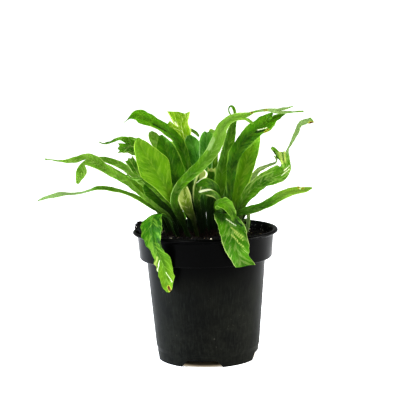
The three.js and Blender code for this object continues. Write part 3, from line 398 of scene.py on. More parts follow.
                    [79, 190, -10, 1.8], [83.5, 193.7, -10, 1.9], [89.6, 195, -9, 2.3],
                ],
                "teeth": [-0.8, 0.2, 0.8],
            },
            {"sight": [[65.2, 168.1, -14.2, 2.1], [64.9, 169.9, -14.2, 2.1]], "teeth": [0.3, -0.5, 0.3]},
            {"sight": [[60.6, 168.9, -12.8, 2.2], [58, 171.4, -12, 1.8], [55.9, 173.5, -12, 1.1]]},
        ],
    },
    "thin_curl": {
        "root": [25, 4],
        "sight": [
            [30.5, 122, 7, 1.8], [36, 138, 9, 2.2], [40.5, 149, 9, 2.4], [45, 155, 9, 2],
            [51, 157.8, 9, 1.4], [56.5, 159.8, 9, 1], [59.6, 161.4, 8, 0.9], [59.6, 164, 7, 0.8],
            [57.8, 166.4, 6, 0.4],
        ],
        "face": [[0, -1, 0.2], [0, -1, 0.3]],
        "cup": 0.2,
        "ripple": [0.5, 3, 0],
    },
    "right_low": {
        "root": [19.5, -11],
        "sight": [
            [23.5, 113, -16, 2.2], [29, 119.5, -20, 3.8], [36, 121.6, -23, 5], [45, 123.7, -25, 4.8],
            [54, 127.4, -26, 4.8], [62, 132.3, -27, 4.6], [70, 135.8, -27, 4.9], [77.5, 136.9, -27, 4.7],
            [83.5, 137.4, -26, 3.4], [89, 139.3, -26, 0.6],
        ],
        "face": [[0.3, -0.5, 1], [0, -0.6, 0.8], [0, -0.6, 0.8]],
        "cup": 0.15,
        "ripple": [0.8, 3, 0.2],
    },
    "right_hanging": {
        "root": [15, -16.5],
        "sight": [
            [14.6, 108, -20, 2.2], [13.2, 115, -26, 3.6], [13, 119.2, -33, 5.4], [15.2, 117.6, -41, 7.8],
            [19.2, 111.5, -49, 9.6], [22.4, 105, -56, 10.8], [24, 99, -59.5, 10.6], [25.1, 93, -61, 10.7],
            [26.1, 87.4, -61, 9.3], [28.2, 82, -60.5, 8], [31.2, 77.2, -60, 7.6],
        ],
        "face": [[0.2, -0.7, 0.9], [0.2, -0.9, 0.6], [0.2, -1, 0.15], [0.2, -1, 0]],
        "cup": 0.1,
        "ripple": [1.3, 2.5, 0.6],
        "teeth": [6.2, 4, 2.5, 1, -1.5],
    },
    "right_flap": {
        "root": [10.5, -12.5],
        "sight": [
            [12, 112, -15, 1.8], [11.3, 120, -19, 3.2], [11.2, 126.6, -27, 4.8], [13.2, 128.8, -36, 5.3],
            [17, 127, -43, 5], [20.8, 122.6, -49, 4.3], [22.9, 118, -53, 3], [24.6, 114.5, -57, 1.9],
            [27.5, 111.2, -60.5, 1.3], [31, 108.4, -63.5, 0.6],
        ],
        "face": [[0, -0.8, 0.6], [-0.2, -0.8, 0.6], [0.1, -1, 0.4], [0.2, -1, 0.3]],
        "cup": 0.1,
        "ripple": [0.6, 1.5, 0],
    },
    "young_cream": {
        "root": [-5, -16],
        "sight": [
            [-9, 113, -19, 2], [-12.6, 121.5, -20, 3.6], [-15.8, 129, -20.5, 5.2], [-17, 135.6, -20, 5.4],
            [-16.8, 141, -19, 3.8], [-16.6, 144.6, -18, 1.3],
        ],
        "face": [[0, -1, 0.1], [0.1, -1, 0.1]],
        "cup": 0.35,
        "ripple": [0.5, 1.5, 0],
    },
    "young_curl": {
        "root": [-1, -9],
        "sight": [
            [-4, 116, -12, 2], [-6.6, 131, -15, 2.8], [-6, 141, -16, 3.4], [-3.2, 148, -16, 4],
            [-0.8, 153.4, -15, 3.6], [-1.2, 157.4, -14, 0.9],
        ],
        "face": [[0, -1, 0.2], [0, -1, 0.2]],
        "cup": 0.4,
        "ripple": [0.4, 2, 0],
    },
    "young_blunt": {
        "root": [4, -2],
        "sight": [
            [4.3, 116, -2, 2.4], [4.8, 134, -3, 3], [5.7, 147, -4, 3.2], [6.1, 153.4, -5, 3.1],
            [6.3, 157.5, -6, 3.1],
        ],
        "face": [[0, -1, 0.1], [0, -1, 0.1]],
        "cup": 0.35,
        "ripple": [0.4, 2, 0],
        "teeth": [1, -1, 0, -1, 1],
    },
    "young_pale_edge": {
        "root": [11, -8],
        "sight": [
            [12.5, 114, -12, 1.8], [13, 125, -16, 2.2], [11, 132.5, -19, 2.5], [7, 136, -21, 2.8],
            [2, 137.5, -22, 2.8], [-2, 138, -22, 1.8], [-4.2, 135.8, -21, 1.1], [-4.5, 131, -21, 0.5],
        ],
        "face": [[0, -1, 0.2], [0, -1, 0.5], [0, -0.9, 0.6], [0, -1, 0.3]],
        "cup": 0.35,
        "ripple": [0.4, 2, 0],
        "step": 6,
    },
    "young_dark": {
        "root": [8, -1],
        "sight": [
            [10, 120, -6, 2.4], [10.8, 133, -11, 3], [8.6, 141, -17, 3.6], [2.6, 145, -21, 3.8],
            [-2.6, 144.6, -22, 2.6], [-5.6, 143.4, -22, 1],
        ],
        "face": [[0, -1, 0.2], [0, -1, 0.4]],
        "cup": 0.2,
        "ripple": [0.5, 2, 0],
    },
    "left_shaded": {
        "root": [-20.5, 0.5],
        "sight": [
            [-27.6, 118.5, 1, 2.7], [-34.2, 126.6, 2, 5.8], [-40, 134.4, 3, 6.9], [-44.4, 140.2, 3, 6.4],
            [-48.6, 145.6, 3, 4],
        ],
        "face": [[-0.2, -1, 0.3], [0.1, -1, 0.4]],
        "cup": 0.2,
        "ripple": [0.7, 2, 0],
        "teeth": [-1.2, 0.5, -1.2],
    },
    "fiddlehead": {
        "root": [29.5, 7],
        "sight": [
            [32.2, 103, 7.6, 1.4], [35, 108.6, 8.4, 1.5], [35.3, 112.8, 9, 1.4], [33, 113.8, 9.5, 1.2],
            [31.7, 111.2, 10, 1], [33, 109.3, 10.5, 0.6],
        ],
        "face": [[0, -1, 0], [0, -1, 0]],
        "cup": 0,
        "ripple": [0, 1, 0],
        "step": 3.5,
    },
    "small_stem": {
        "root": [30, 1],
        "sight": [[34.6, 106, 3, 1.5], [35.9, 113, 2, 1.5], [35.8, 119, 1, 1.5], [34.5, 123.5, 0, 0.8]],
        "face": [[0, -1, 0], [0, -1, 0]],
        "cup": 0.2,
        "ripple": [0, 1, 0],
    },
    "behind_right_crest": {
        "root": [26, 11],
        "sight": [
            [31, 124, 22, 2.4], [38, 136.5, 32, 4], [46, 144, 42, 4.8], [54, 148.5, 50, 5.2],
            [61, 151, 56, 4.6], [66, 154, 60, 1.2],
        ],
        "face": [[0, -0.7, 0.8], [0, -0.4, 1], [0, -0.4, 1]],
        "cup": 0.1,
        "ripple": [0.8, 2, 0.2],
    },
    "behind_right_low": {
        "root": [25, 16],
        "sight": [
            [31.5, 117.5, 24, 2.2], [37.5, 121.7, 34, 4.4], [45, 123.8, 44, 6], [53, 127.3, 54, 6.4],
            [61, 132.3, 62, 5.6], [69, 136, 68, 3.6], [76, 137.3, 72, 0.9],
        ],
        "face": [[0, -0.4, 1], [0, -0.15, 1], [0, -0.15, 1]],
        "cup": 0,
        "ripple": [0.3, 2, 0],
    },
    "behind_left_forked": {
        "root": [-23, 13.5],
        "sight": [
            [-35, 123, 20, 2.2], [-46, 134.5, 30, 3.6], [-57, 145, 39, 5], [-68, 153, 47, 5.4],
            [-79, 160, 53, 4.8], [-88, 164.5, 57, 3], [-95, 167, 60, 0.9],
        ],
        "face": [[0, -0.4, 1], [0, -0.15, 1], [0, -0.15, 1]],
        "cup": 0,
        "ripple": [0.3, 2, 0],
    },
    "behind_left_low": {
        "root": [-29, 9],
        "sight": [
            [-37, 120.2, 22, 2], [-47, 128.6, 33, 3.6], [-59, 136, 43, 5], [-71, 140.7, 51, 5],
            [-82, 143, 57, 3.8], [-91, 142.6, 61, 0.9],
        ],
        "face": [[0, -0.2, 1], [0, 0.05, 1], [0, 0.05, 1]],
        "cup": 0,
        "ripple": [0.2, 2, 0],
    },
}

# The far side, which the front view hides: root, the compass direction the frond leans in, its reach, its
# highest point, its tip's height, its half width and whether its tip is split.
BACK = [
    {"root": [-19, 15], "lean": 104, "reach": 92, "peak": 158, "tip": 142, "half": 7, "split": True},
    {"root": [-13, 21], "lean": 99, "reach": 104, "peak": 172, "tip": 154, "half": 8},
    {"root": [-3.5, 21], "lean": 86, "reach": 82, "peak": 148, "tip": 112, "half": 8},
    {"root": [2, 18], "lean": 80, "reach": 116, "peak": 176, "tip": 160, "half": 7.5, "split": True},
    {"root": [9, 19], "lean": 76, "reach": 84, "peak": 152, "tip": 124, "half": 6.5},
    {"root": [15, 14], "lean": 78, "reach": 100, "peak": 168, "tip": 150, "half": 7, "split": True},
    {"root": [21, 12], "lean": 74, "reach": 60, "peak": 150, "tip": 140, "half": 5},
    {"root": [7, 12.5], "lean": 80, "reach": 50, "peak": 184, "tip": 181, "half": 7},
    {"root": [-4, 27], "lean": 104, "reach": 60, "peak": 132, "tip": 102, "half": 7},
    {"root": [15.5, 21], "lean": 84, "reach": 58, "peak": 134, "tip": 104, "half": 6},
]

# ---- Finishes of the fronds ----
# deep and fresh are the blade's two greens and cream its variegation. streaks is how much of that follows
# the side veins, marbled how much lies in cloudy patches and lined how much runs along the blade. rim is
# the width of the pale margin in mm, and pale_rim how well the cream covers there. ripe is the colour that
# some turn to, and turn how far from the root, in mm, they begin to and have turned; on fresh_green_blade
# that colour is a painted sheen, the broad blades lighter and greyer further out.
BLADE_FINISHES = {
    # Its ripe colour is a painted sheen.
    "fresh_green_blade": {
        "deep": "#3A6200", "fresh": "#578202", "cream": "#AFC64A", "ripe_and_sheen": "#6C942A", "turn": (75.0, 125.0),
    },
    "mid_green_blade": {"deep": "#244A00", "fresh": "#4A7600", "cream": "#A3BD5C"},
    "waxy_green_blade": {
        "deep": "#244A00", "fresh": "#487404", "cream": "#A3BD66", "ripe_and_sheen": "#638A2A", "turn": (78.0, 112.0),
    },
    "turning_blade": {
        "deep": "#1E4400", "fresh": "#3E6E02", "cream": "#A3BD66", "ripe_and_sheen": "#74942C", "turn": (56.0, 80.0),
    },
    "olive_green_blade": {"deep": "#3C6208", "fresh": "#67902A", "cream": "#B4C47C"},
    "pale_green_blade": {"deep": "#6A8638", "fresh": "#94AC5C", "cream": "#D6E0B4", "lined": 0.5},
    "deep_green_blade": {
        "deep": "#143200", "fresh": "#386800", "cream": "#86A934", "ripe_and_sheen": "#447600", "turn": (85.0, 120.0),
    },
    "blue_green_blade": {"deep": "#245C08", "fresh": "#568E26", "cream": "#A0C07A", "rim": 0.9},
    "lime_blade": {
        "deep": "#4F7C00", "fresh": "#7CA010", "cream": "#CBD87A", "streaks": 0.15, "lined": 0.5,
        "rim": 1.3, "pale_rim": 0.6,
    },
    "hanging_blade": {
        "deep": "#0E3600", "fresh": "#2E6400", "cream": "#7FA436", "streaks": 0.1, "marbled": 0.4,
        "lined": 0.15, "ripe_and_sheen": "#5C800C", "turn": (70.0, 108.0),
    },
    "feathered_blade": {
        "deep": "#1C4800", "fresh": "#447804", "cream": "#B8C676", "streaks": 0.45, "marbled": 0.15,
    },
    "crest_blade": {
        "deep": "#234E00", "fresh": "#4E7C0A", "cream": "#B8CA74", "streaks": 0.1, "marbled": 0.14,
        "lined": 0.25,
    },
    "cream_edged_blade": {
        "deep": "#1C4000", "fresh": "#4A7A0C", "cream": "#C4CE7E", "streaks": 0.25, "rim": 1.8,
        "pale_rim": 0.85,
    },
    "cream_blade": {
        "deep": "#4A6A0A", "fresh": "#84A030", "cream": "#CDD488", "streaks": 0.5, "rim": 1.8,
        "pale_rim": 0.85, "marbled": 0.7,
    },
}
FINISH_OF = {
    "broad_front": "fresh_green_blade", "s_curve": "waxy_green_blade", "round_lobe": "olive_green_blade",
    "wide_right": "fresh_green_blade", "right_flap": "mid_green_blade", "left_forked": "olive_green_blade",
    "left_low": "mid_green_blade", "left_behind": "olive_green_blade", "looped": "mid_green_blade",
    "right_low": "turning_blade", "thin_curl": "pale_green_blade", "high_left_arch": "deep_green_blade",
    "dark_lobed": "deep_green_blade", "left_shaded": "deep_green_blade", "young_dark": "deep_green_blade",
    "behind_broad": "deep_green_blade", "heart_left": "blue_green_blade", "heart_right": "blue_green_blade",
    "pale_arc": "olive_green_blade", "high_fan": "lime_blade", "left_split": "crest_blade",
    "left_hanging": "hanging_blade", "right_hanging": "feathered_blade", "right_crest": "crest_blade",
    "left_crest": "crest_blade", "young_cream": "cream_blade", "young_curl": "cream_edged_blade",
    "young_blunt": "deep_green_blade", "young_pale_edge": "cream_edged_blade",
    "fiddlehead": "olive_green_blade", "small_stem": "olive_green_blade",
}
# How much more than the others a frond is ruffled.
RUFFLED = {
    "left_hanging": 3.0, "right_flap": 1.6, "right_hanging": 2.2, "right_crest": 2.0, "left_crest": 2.0,
    "left_split": 1.8, "dark_lobed": 1.8, "high_left_arch": 1.6, "young_cream": 1.8, "young_curl": 1.5,
}
# The far side's fronds take these in turn.
PLAIN_FINISHES = ["fresh_green_blade", "mid_green_blade", "deep_green_blade"]

# How far from its root a frond stays dark, in mm: its stalk is darker of its own, and painted shade stands
# in for the little light that gets into the heart of the clump.
DARK_FOOT = 54.0
DARK_HEART = {
    "high_fan": 75.0, "high_left_arch": 80.0, "heart_left": 62.0, "heart_right": 58.0, "looped": 60.0,
    "behind_broad": 60.0, "pale_arc": 90.0, "young_blunt": 62.0, "young_curl": 55.0, "young_dark": 50.0,
    "left_shaded": 70.0, "s_curve": 64.0, "broad_front": 60.0, "left_split": 60.0, "young_cream": 52.0,
    "thin_curl": 42.0,
}
# Up to this length a frond's foot is darkest, and by this share.
FOOT_IN_THE_DARK = {"length": 12.0, "share": 0.95}
# The heart, which is painted in shade: where its middle stands, the radius and the height up to which it
# is dark, how far out and up it then takes to clear, and how much of it shows on the fronds that DARK_HEART
# doesn't name.
HEART = {"across": 4.0, "radius": 20.0, "height": 112.0, "out": 22.0, "up": 46.0, "share": 0.55}
PALE_FOOT = ("fiddlehead", "small_stem")  # they stand alone in the light

# Marks on single fronds: [kind, from, to, radius], read on the same upright plane. scorch is a brown spot,
# paint a near-white streak, butter a yellowish one, bleach where the green has gone pale and greyish and,
# on the s_curve, a painted sheen, and shade is painted shade, in a fold or under a leaf above.
MARK_KINDS = ("scorch", "paint", "butter", "bleach_and_sheen", "shade")
MARK_CORE = 0.4  # share of a mark's radius within which it is full
# How far past that a mark takes to fade, as a share of its radius.
MARK_SOFTNESS = {"scorch": 1.0, "paint": 1.0, "butter": 1.2, "bleach_and_sheen": 2.2, "shade": 1.3}
MARKS = {
    "left_low": [("bleach_and_sheen", (-108, 138), (-140, 133), 9)],
    "left_hanging": [
        ("scorch", (-31.6, 58.8), (-30.6, 56), 1.1), ("paint", (-38.6, 81.5), (-40.6, 72), 0.5),
        ("paint", (-33.4, 71.2), (-28.4, 62.6), 0.42), ("shade", (-37.6, 97), (-34.4, 91), 1.0),
        ("butter", (-40.6, 84), (-42, 77), 0.9), ("shade", (-40, 100), (-36.6, 92.5), 0.5),
    ],
    "s_curve": [
        # The first is a painted sheen where the arch catches the light.
        ("bleach_and_sheen", (3.8, 174.5), (7.6, 181), 1.3), ("bleach_and_sheen", (50, 203), (66, 205), 3),
        ("scorch", (39.6, 202), (40.4, 202), 0.6), ("scorch", (51, 203.8), (52.4, 204), 0.5),
    ],
    "dark_lobed": [
        ("paint", (44.5, 187.6), (52, 189.4), 0.5), ("shade", (43.5, 186), (50, 187.4), 0.9),
        ("scorch", (51, 185.8), (53, 188), 0.5),
    ],
    "right_low": [
        ("scorch", (77.2, 140.2), (77.4, 138.2), 0.4), ("paint", (79.6, 140.4), (78.6, 137.8), 0.6),
        ("scorch", (81.6, 140.2), (80.8, 138), 0.45),
    ],
    "right_crest": [
        ("bleach_and_sheen", (70, 174), (84, 190), 4), ("scorch", (87, 192.6), (89.5, 193), 0.8),
        ("shade", (57.5, 170), (63.2, 158.4), 0.8), ("butter", (62.4, 169.5), (64.2, 160.5), 1.3),
        ("butter", (66.6, 169.5), (66.8, 161), 0.9), ("shade", (65, 168.5), (65.4, 161), 0.35),
        ("paint", (69.8, 154.8), (63.5, 150), 0.45), ("paint", (70, 157.6), (65.8, 153.8), 0.45),
    ],
    "thin_curl": [("bleach_and_sheen", (57, 160), (60, 166), 3)],
    "high_fan": [("paint", (-25.6, 199.2), (-20.6, 192.2), 0.5)],
    "high_left_arch": [
        ("butter", (-43, 192.8), (-33, 186.4), 0.7), ("butter", (-33, 186.4), (-25.5, 180), 0.7),
        ("shade", (-41, 194.6), (-31, 188.8), 0.5),
    ],
    "young_curl": [
        ("butter", (-1.4, 156), (-1.6, 150), 2.4), ("paint", (0, 157), (2.7, 154), 1.0),
        ("paint", (2.7, 154), (2, 150.5), 1.0), ("paint", (2, 150.5), (-2.2, 148.3), 0.8),
        ("paint", (-2.2, 148.3), (-6.5, 145.5), 0.6),
    ],
    "young_pale_edge": [("paint", (-3.5, 138.2), (6, 140.4), 1.3)],
    "young_blunt": [
        ("butter", (3.4, 157), (9.4, 156.4), 1.9), ("butter", (9.4, 156), (10.4, 151), 0.8),
        ("paint", (5, 158.2), (9, 157.8), 0.5),
    ],
    "young_cream": [("butter", (-18.6, 138), (-19.6, 131), 1.5), ("butter", (-15, 140), (-13, 134), 1.1)],
    "right_hanging": [
        # The first is the painted shadow that the flap casts over the blade's top.
        ("shade", (9, 121), (14, 116), 3.2), ("paint", (17.5, 114.5), (25.5, 109), 0.5),
        ("butter", (21.5, 107.2), (31, 99.6), 0.6), ("butter", (24, 103), (31.5, 96.4), 0.5),
        ("butter", (21.4, 101.4), (26.6, 96.4), 0.5), ("butter", (26.6, 95.4), (31.4, 91), 0.45),
    ],
    # Painted shade where the flap's end tucks under.
    "right_flap": [("shade", (27, 112), (31, 107), 3.6)],
    "fiddlehead": [("bleach_and_sheen", (34, 106), (33, 116), 3)],
    "small_stem": [("bleach_and_sheen", (36, 106), (36, 119), 3)],
}


def linear(code):
    """An sRGB hex code as linear RGBA."""
    parts = [int(code[i:i + 2], 16) / 255 for i in (1, 3, 5)]
    return (*[c / 12.92 if c <= 0.04045 else ((c + 0.055) / 1.055) ** 2.4 for c in parts], 1.0)


def put(tree, kind, inputs=(), **settings):
    """Adds a node to a tree, sets its properties and joins or fills its inputs, given in order or by name.
    Returns the node's outputs."""
    made = tree.nodes.new(kind)
    for key, value in settings.items():
        setattr(made, key, value)
    for key, value in inputs.items() if isinstance(inputs, dict) else enumerate(inputs):
        if isinstance(value, bpy.types.NodeSocket):
            tree.links.new(value, made.inputs[key])
        else:
            made.inputs[key].default_value = value
    return made.outputs


# ---- The fronds' shape, as in the part's source ----
def seen(row):
    """A point read on the upright plane, moved along the line of sight to its depth."""
    across, up, depth, half = row
    scale = 1 + depth / EYE["distance"]
    x = EYE["across"] + (across - EYE["across"]) * scale
    z = EYE["up"] + (up - EYE["up"]) * scale
    return [x, depth, z, half * scale]


def smooth(rows, t):
    """The row at the share t of the way along a smooth curve through all the rows."""
    at = min(max(t, 0.0), 1.0) * (len(rows) - 1)
    i = min(int(at), len(rows) - 2)
    f = at - i
    b, c = rows[i], rows[i + 1]
    a = rows[i - 1] if i > 0 else 2 * b - c
    d = rows[i + 2] if i + 2 < len(rows) else 2 * c - b
    bend = 2 * a - 5 * b + 4 * c - d
    twist = 3 * b - a - 3 * c + d
    return 0.5 * (2 * b + (c - a) * f + bend * f * f + twist * f ** 3)


def blend(rows, t):
    """The row at the share t of the way along straight runs between the rows."""
    rows = np.asarray(rows, float)
    at = min(max(t, 0.0), 1.0) * (len(rows) - 1)
    i = min(int(at), len(rows) - 2)
    return rows[i] + (rows[i + 1] - rows[i]) * (at - i)


def ease(t):
    """From 0 to 1 as t does, with a soft start and end."""
    x = np.clip(t, 0, 1)
    return x * x * (3 - 2 * x)


def midrib(frond):
    """A stretch's midrib, as [x, y, z, half width] from its root or from where it leaves its parent."""
    points = [seen(row) for row in frond["sight"]] if "sight" in frond else list(frond["path"])
    return [[*frond["root"], ROOT_Z, STALK_HALF], *points] if "root" in frond else points


def arched_frond(spec, number):
    """A frond of the far side: up from its root, over its peak and down to its tip."""
    root, reach, peak, tip, half = (spec[key] for key in ("root", "reach", "peak", "tip", "half"))
    out = (math.cos(math.radians(spec["lean"])), math.sin(math.radians(spec["lean"])))
    rise, fall = peak - ROOT_Z, peak - tip

    def place(far, aside, z, wide):
        x = root[0] + out[0] * reach * far - out[1] * aside
        y = root[1] + out[1] * reach * far + out[0] * aside
        return [x, y, z, wide]

    # How far out each place is, how far up the rise or down the fall, and how wide the blade is there.
    path = [
        place(0.08, 0, ROOT_Z + rise * 0.42, half * 0.26),
        place(0.22, 0, ROOT_Z + rise * 0.76, half * 0.42),
        place(0.42, 0, ROOT_Z + rise * 0.97, half * 0.8),
        place(0.62, 0, peak, half),
        place(0.8, 0, peak - fall * 0.15, half * 0.9),
    ]
    blade = {
        "root": root, "path": path, "cup": 0.15, "ripple": [1.3, 3, number * 0.37], "lobes": [0.08, 4],
        "face": [[-out[0], -out[1], 0.5], [0, 0, 1], [out[0] * 0.6, out[1] * 0.6, 1]],
    }
    if spec.get("split"):
        blade["fork"] = [
            {"path": [place(0.9, aside * half * 0.75, peak - fall * 0.45, half * 0.42),
                      place(1, aside * half * 1.3, tip, BACK_TIP_HALF)]} for aside in (1, -1)
        ]
    else:
        path += [place(0.93, 0, peak - fall * 0.45, half * 0.5), place(1, 0, tip, BACK_TIP_HALF)]
    return blade


def stations(rows, step, finer, first_whole):
    """Places along a midrib, at the source's stations and at even steps between them, or with first_whole
    at none in the first gap. Each is its share of the length, its distance, its point, the half width
    there and the way the midrib runs."""
    rows = np.asarray(rows, float)
    fine = SAMPLES * (len(rows) - 1)
    dense = np.array([smooth(rows, i / fine) for i in range(fine + 1)])
    far = np.concatenate([[0], np.cumsum(np.linalg.norm(np.diff(dense[:, :3], axis=0), axis=1))])
    total = far[-1]
    number = max(2, round(total / step))
    marks = np.linspace(0, total, number * finer + 1)
    if first_whole:
        marks = np.concatenate([[0], marks[finer:]])
    made = []
    for distance in marks:
        i = min(max(int(np.searchsorted(far, distance)), 1), fine)
        share = (distance - far[i - 1]) / max(far[i] - far[i - 1], 1e-9)
        along = dense[i, :3] - dense[i - 1, :3]
        row = dense[i - 1] + (dense[i] - dense[i - 1]) * share
        made.append((distance / total, distance, row[:3], row[3], along / np.linalg.norm(along)))
    return made


def quads_across(frond):
    """Coarse quads across a frond's end: two for each prong."""
    return sum(quads_across(prong) for prong in frond["fork"]) if "fork" in frond else 2


def lay_stretch(stretches, frond, quads, finer_across, share, parent_face, start):
    """Lays the control rows of one stretch of blade, then those of its prongs. A row is the places of its
    points, with what each carries: how far along and across the blade it is, how wide and thick the blade
    is there, and how far from the stalk's calm. share is what a prong takes over from its parent."""
    rows = [[*share["centre"], share["half"]], *midrib(frond)] if share else midrib(frond)
    faces = frond.get("face", [parent_face, parent_face])
    height, waves, phase = frond.get("ripple", [0, 1, 0])
    scallop, scallops = frond.get("lobes", [0, 1])
    cup = frond.get("cup", 0)
    t = np.linspace(-1, 1, quads * finer_across + 1)
    laid, marks = [], []
    places = stations(rows, frond.get("step", STATION), ROWS_A_STATION, bool(share))
    for u, distance, point, half, along in places:
        face = blend(faces, u)
        face = face - along * face.dot(along)
        face /= np.linalg.norm(face)
        side = np.cross(along, face)
        last = (face, side, point, half)
        if share and u == 0:
            laid.append(share["row"])
            marks.append(distance)
            continue
        stalk = 0.0 if share else 1 - ease(distance / STALK_LENGTH)
        calm = 1.0 if share else float(ease((distance - STALK_LENGTH * CALM_SHARE) / STALK_LENGTH))
        lobe = np.sin(2 * math.pi * scallops * u + np.where(t > 0, LOBES_APART, 0))
        reach = half * t * (1 + scallop * calm * lobe)
        wave = height * calm * np.sin(2 * math.pi * (waves * u + phase) + np.where(t > 0, WAVES_APART, 0))
        lift = cup * half * t * t * calm + wave * min(half / WAVES_FULL_FROM, 1) * np.abs(t) ** 1.5
        tooth = np.zeros_like(t)
        if "teeth" in frond:
            teeth = np.asarray(frond["teeth"], float)
            tooth = np.interp((t + 1) / 2 * (len(teeth) - 1), np.arange(len(teeth)), teeth)
            tooth *= ease((u - TEETH_FROM) / (1 - TEETH_FROM))
        middle = point + np.outer(reach, side) + np.outer(tooth, along) + np.outer(lift, face)
        rib = np.exp(-(reach / RIB_SPREAD) ** 2)
        blade = BLADE_EDGE + (BLADE_RIB - BLADE_EDGE) * rib * min(half / RIB_FULL_FROM, 1)
        stem = STALK_THICK * np.sqrt(1 - STALK_ROUNDING * t * t)
        carried = np.stack([
            np.full_like(t, start + distance), reach, np.full_like(t, half),
            blade + (stem - blade) * stalk, np.full_like(t, calm),
        ], 1)
        laid.append(np.concatenate([middle, carried], 1))
        marks.append(distance)
    index = len(stretches)
    stretches.append({"rows": np.array(laid), "marks": np.array(marks), "parent": share and share["from"]})
    if "fork" not in frond:
        return
    face, side, point, half = last
    column = 0
    for prong in sorted(frond["fork"], key=lambda p: (np.array(midrib(p)[0][:3]) - point).dot(side)):
        width = quads_across(prong)
        middle = -1 + (2 * column + width) / quads
        first, end = column * finer_across, (column + width) * finer_across
        lay_stretch(stretches, {"cup": cup, **prong}, width, finer_across, {
            "centre": point + side * half * middle, "half": half * width / quads,
            "row": laid[-1][first:end + 1], "from": (index, first, end),
        }, face, start + marks[-1])
        column += width


def finer_rows(stretch, before):
    """Smooth rows at even steps through a stretch's control rows, which needn't be evenly spaced, and the
    way they run at its end. before is the way that the parent's rows run at theirs."""
    rows, marks = stretch["rows"], stretch["marks"]
    gaps = np.diff(marks)
    slopes = (rows[1:] - rows[:-1]) / gaps[:, None, None]
    tangents = np.empty_like(rows)
    weight = gaps[:-1] / (gaps[:-1] + gaps[1:])
    tangents[1:-1] = slopes[:-1] * (1 - weight)[:, None, None] + slopes[1:] * weight[:, None, None]
    tangents[-1] = slopes[-1]
    tangents[0] = slopes[0] if before is None else before
    number = max(2, round(marks[-1] / ROW_STEP))
    made = []
    for distance in np.linspace(0, marks[-1], number + 1):
        i = min(max(int(np.searchsorted(marks, distance)) - 1, 0), len(gaps) - 1)
        h = gaps[i]
        f = (distance - marks[i]) / h
        made.append(
            rows[i] * (2 * f ** 3 - 3 * f * f + 1) + tangents[i] * h * (f ** 3 - 2 * f * f + f)
            + rows[i + 1] * (3 * f * f - 2 * f ** 3) + tangents[i + 1] * h * (f ** 3 - f * f)
        )
    return np.array(made), tangents[-1]


def marked(points, marks, kind):
    """How strongly each point carries a mark, from its place as the eye sees it on the upright plane."""
    scale = 1 + points[:, 1] / EYE["distance"]
    flat = np.stack([EYE["across"] + (points[:, 0] - EYE["across"]) / scale,
                     EYE["up"] + (points[:, 2] - EYE["up"]) / scale], 1)
    strength = np.zeros(len(points))
    for name, start, end, radius in marks:
        if name != kind:
            continue
        start, run = np.array(start, float), np.array(end, float) - np.array(start, float)
        share = np.clip(((flat - start) @ run) / max(run @ run, 1e-9), 0, 1)
        away = np.linalg.norm(flat - start - share[:, None] * run, axis=1)
        strength = np.maximum(strength, 1 - ease((away / radius - MARK_CORE) / MARK_SOFTNESS[kind]))
    return strength


def darkness(name, points, along):
    """How dark each point is: a frond's foot, darker of its own and in painted shade, and what stands low
    in the heart of the clump, in painted shade.
    """
    if name in PALE_FOOT:
        return np.zeros(len(points))
    reach = DARK_HEART.get(name, DARK_FOOT)
    begins = FOOT_IN_THE_DARK["length"]
    foot = FOOT_IN_THE_DARK["share"] * (1 - ease((along - begins) / (reach - begins)))
    away = np.hypot(points[:, 0] - HEART["across"], points[:, 1])
    low = 1 - ease((points[:, 2] - HEART["height"]) / HEART["up"])
    near = 1 - ease((away - HEART["radius"]) / HEART["out"])
    return np.maximum(foot, low * near * (1.0 if name in DARK_HEART else HEART["share"]))


def plain_mesh(name, points, faces):
    """A mesh of these points, in metres, and these faces."""
    mesh = bpy.data.meshes.new(name)
    mesh.from_pydata([tuple(p) for p in points], [], [tuple(map(int, f)) for f in faces])
    mesh.update()
    return mesh


def in_place(points):
    """Millimetres about the pot's axis as metres in the row's frame."""
    return (np.asarray(points, float) + [POT_AXIS[0], POT_AXIS[1], 0]) * MM


def from_axis(point):
    """A point of a finished mesh as millimetres about the pot's axis."""
    return point.x / MM - POT_AXIS[0], point.y / MM - POT_AXIS[1], point.z / MM


def give(mesh, name, kind, values):
    """Stores a value for each point of a mesh, for its trees and finishes to read."""
    layer = mesh.attributes.new(name, kind, "POINT")
    field = "vector" if kind == "FLOAT_VECTOR" else "value"
    layer.data.foreach_set(field, np.asarray(values, np.float32).ravel())


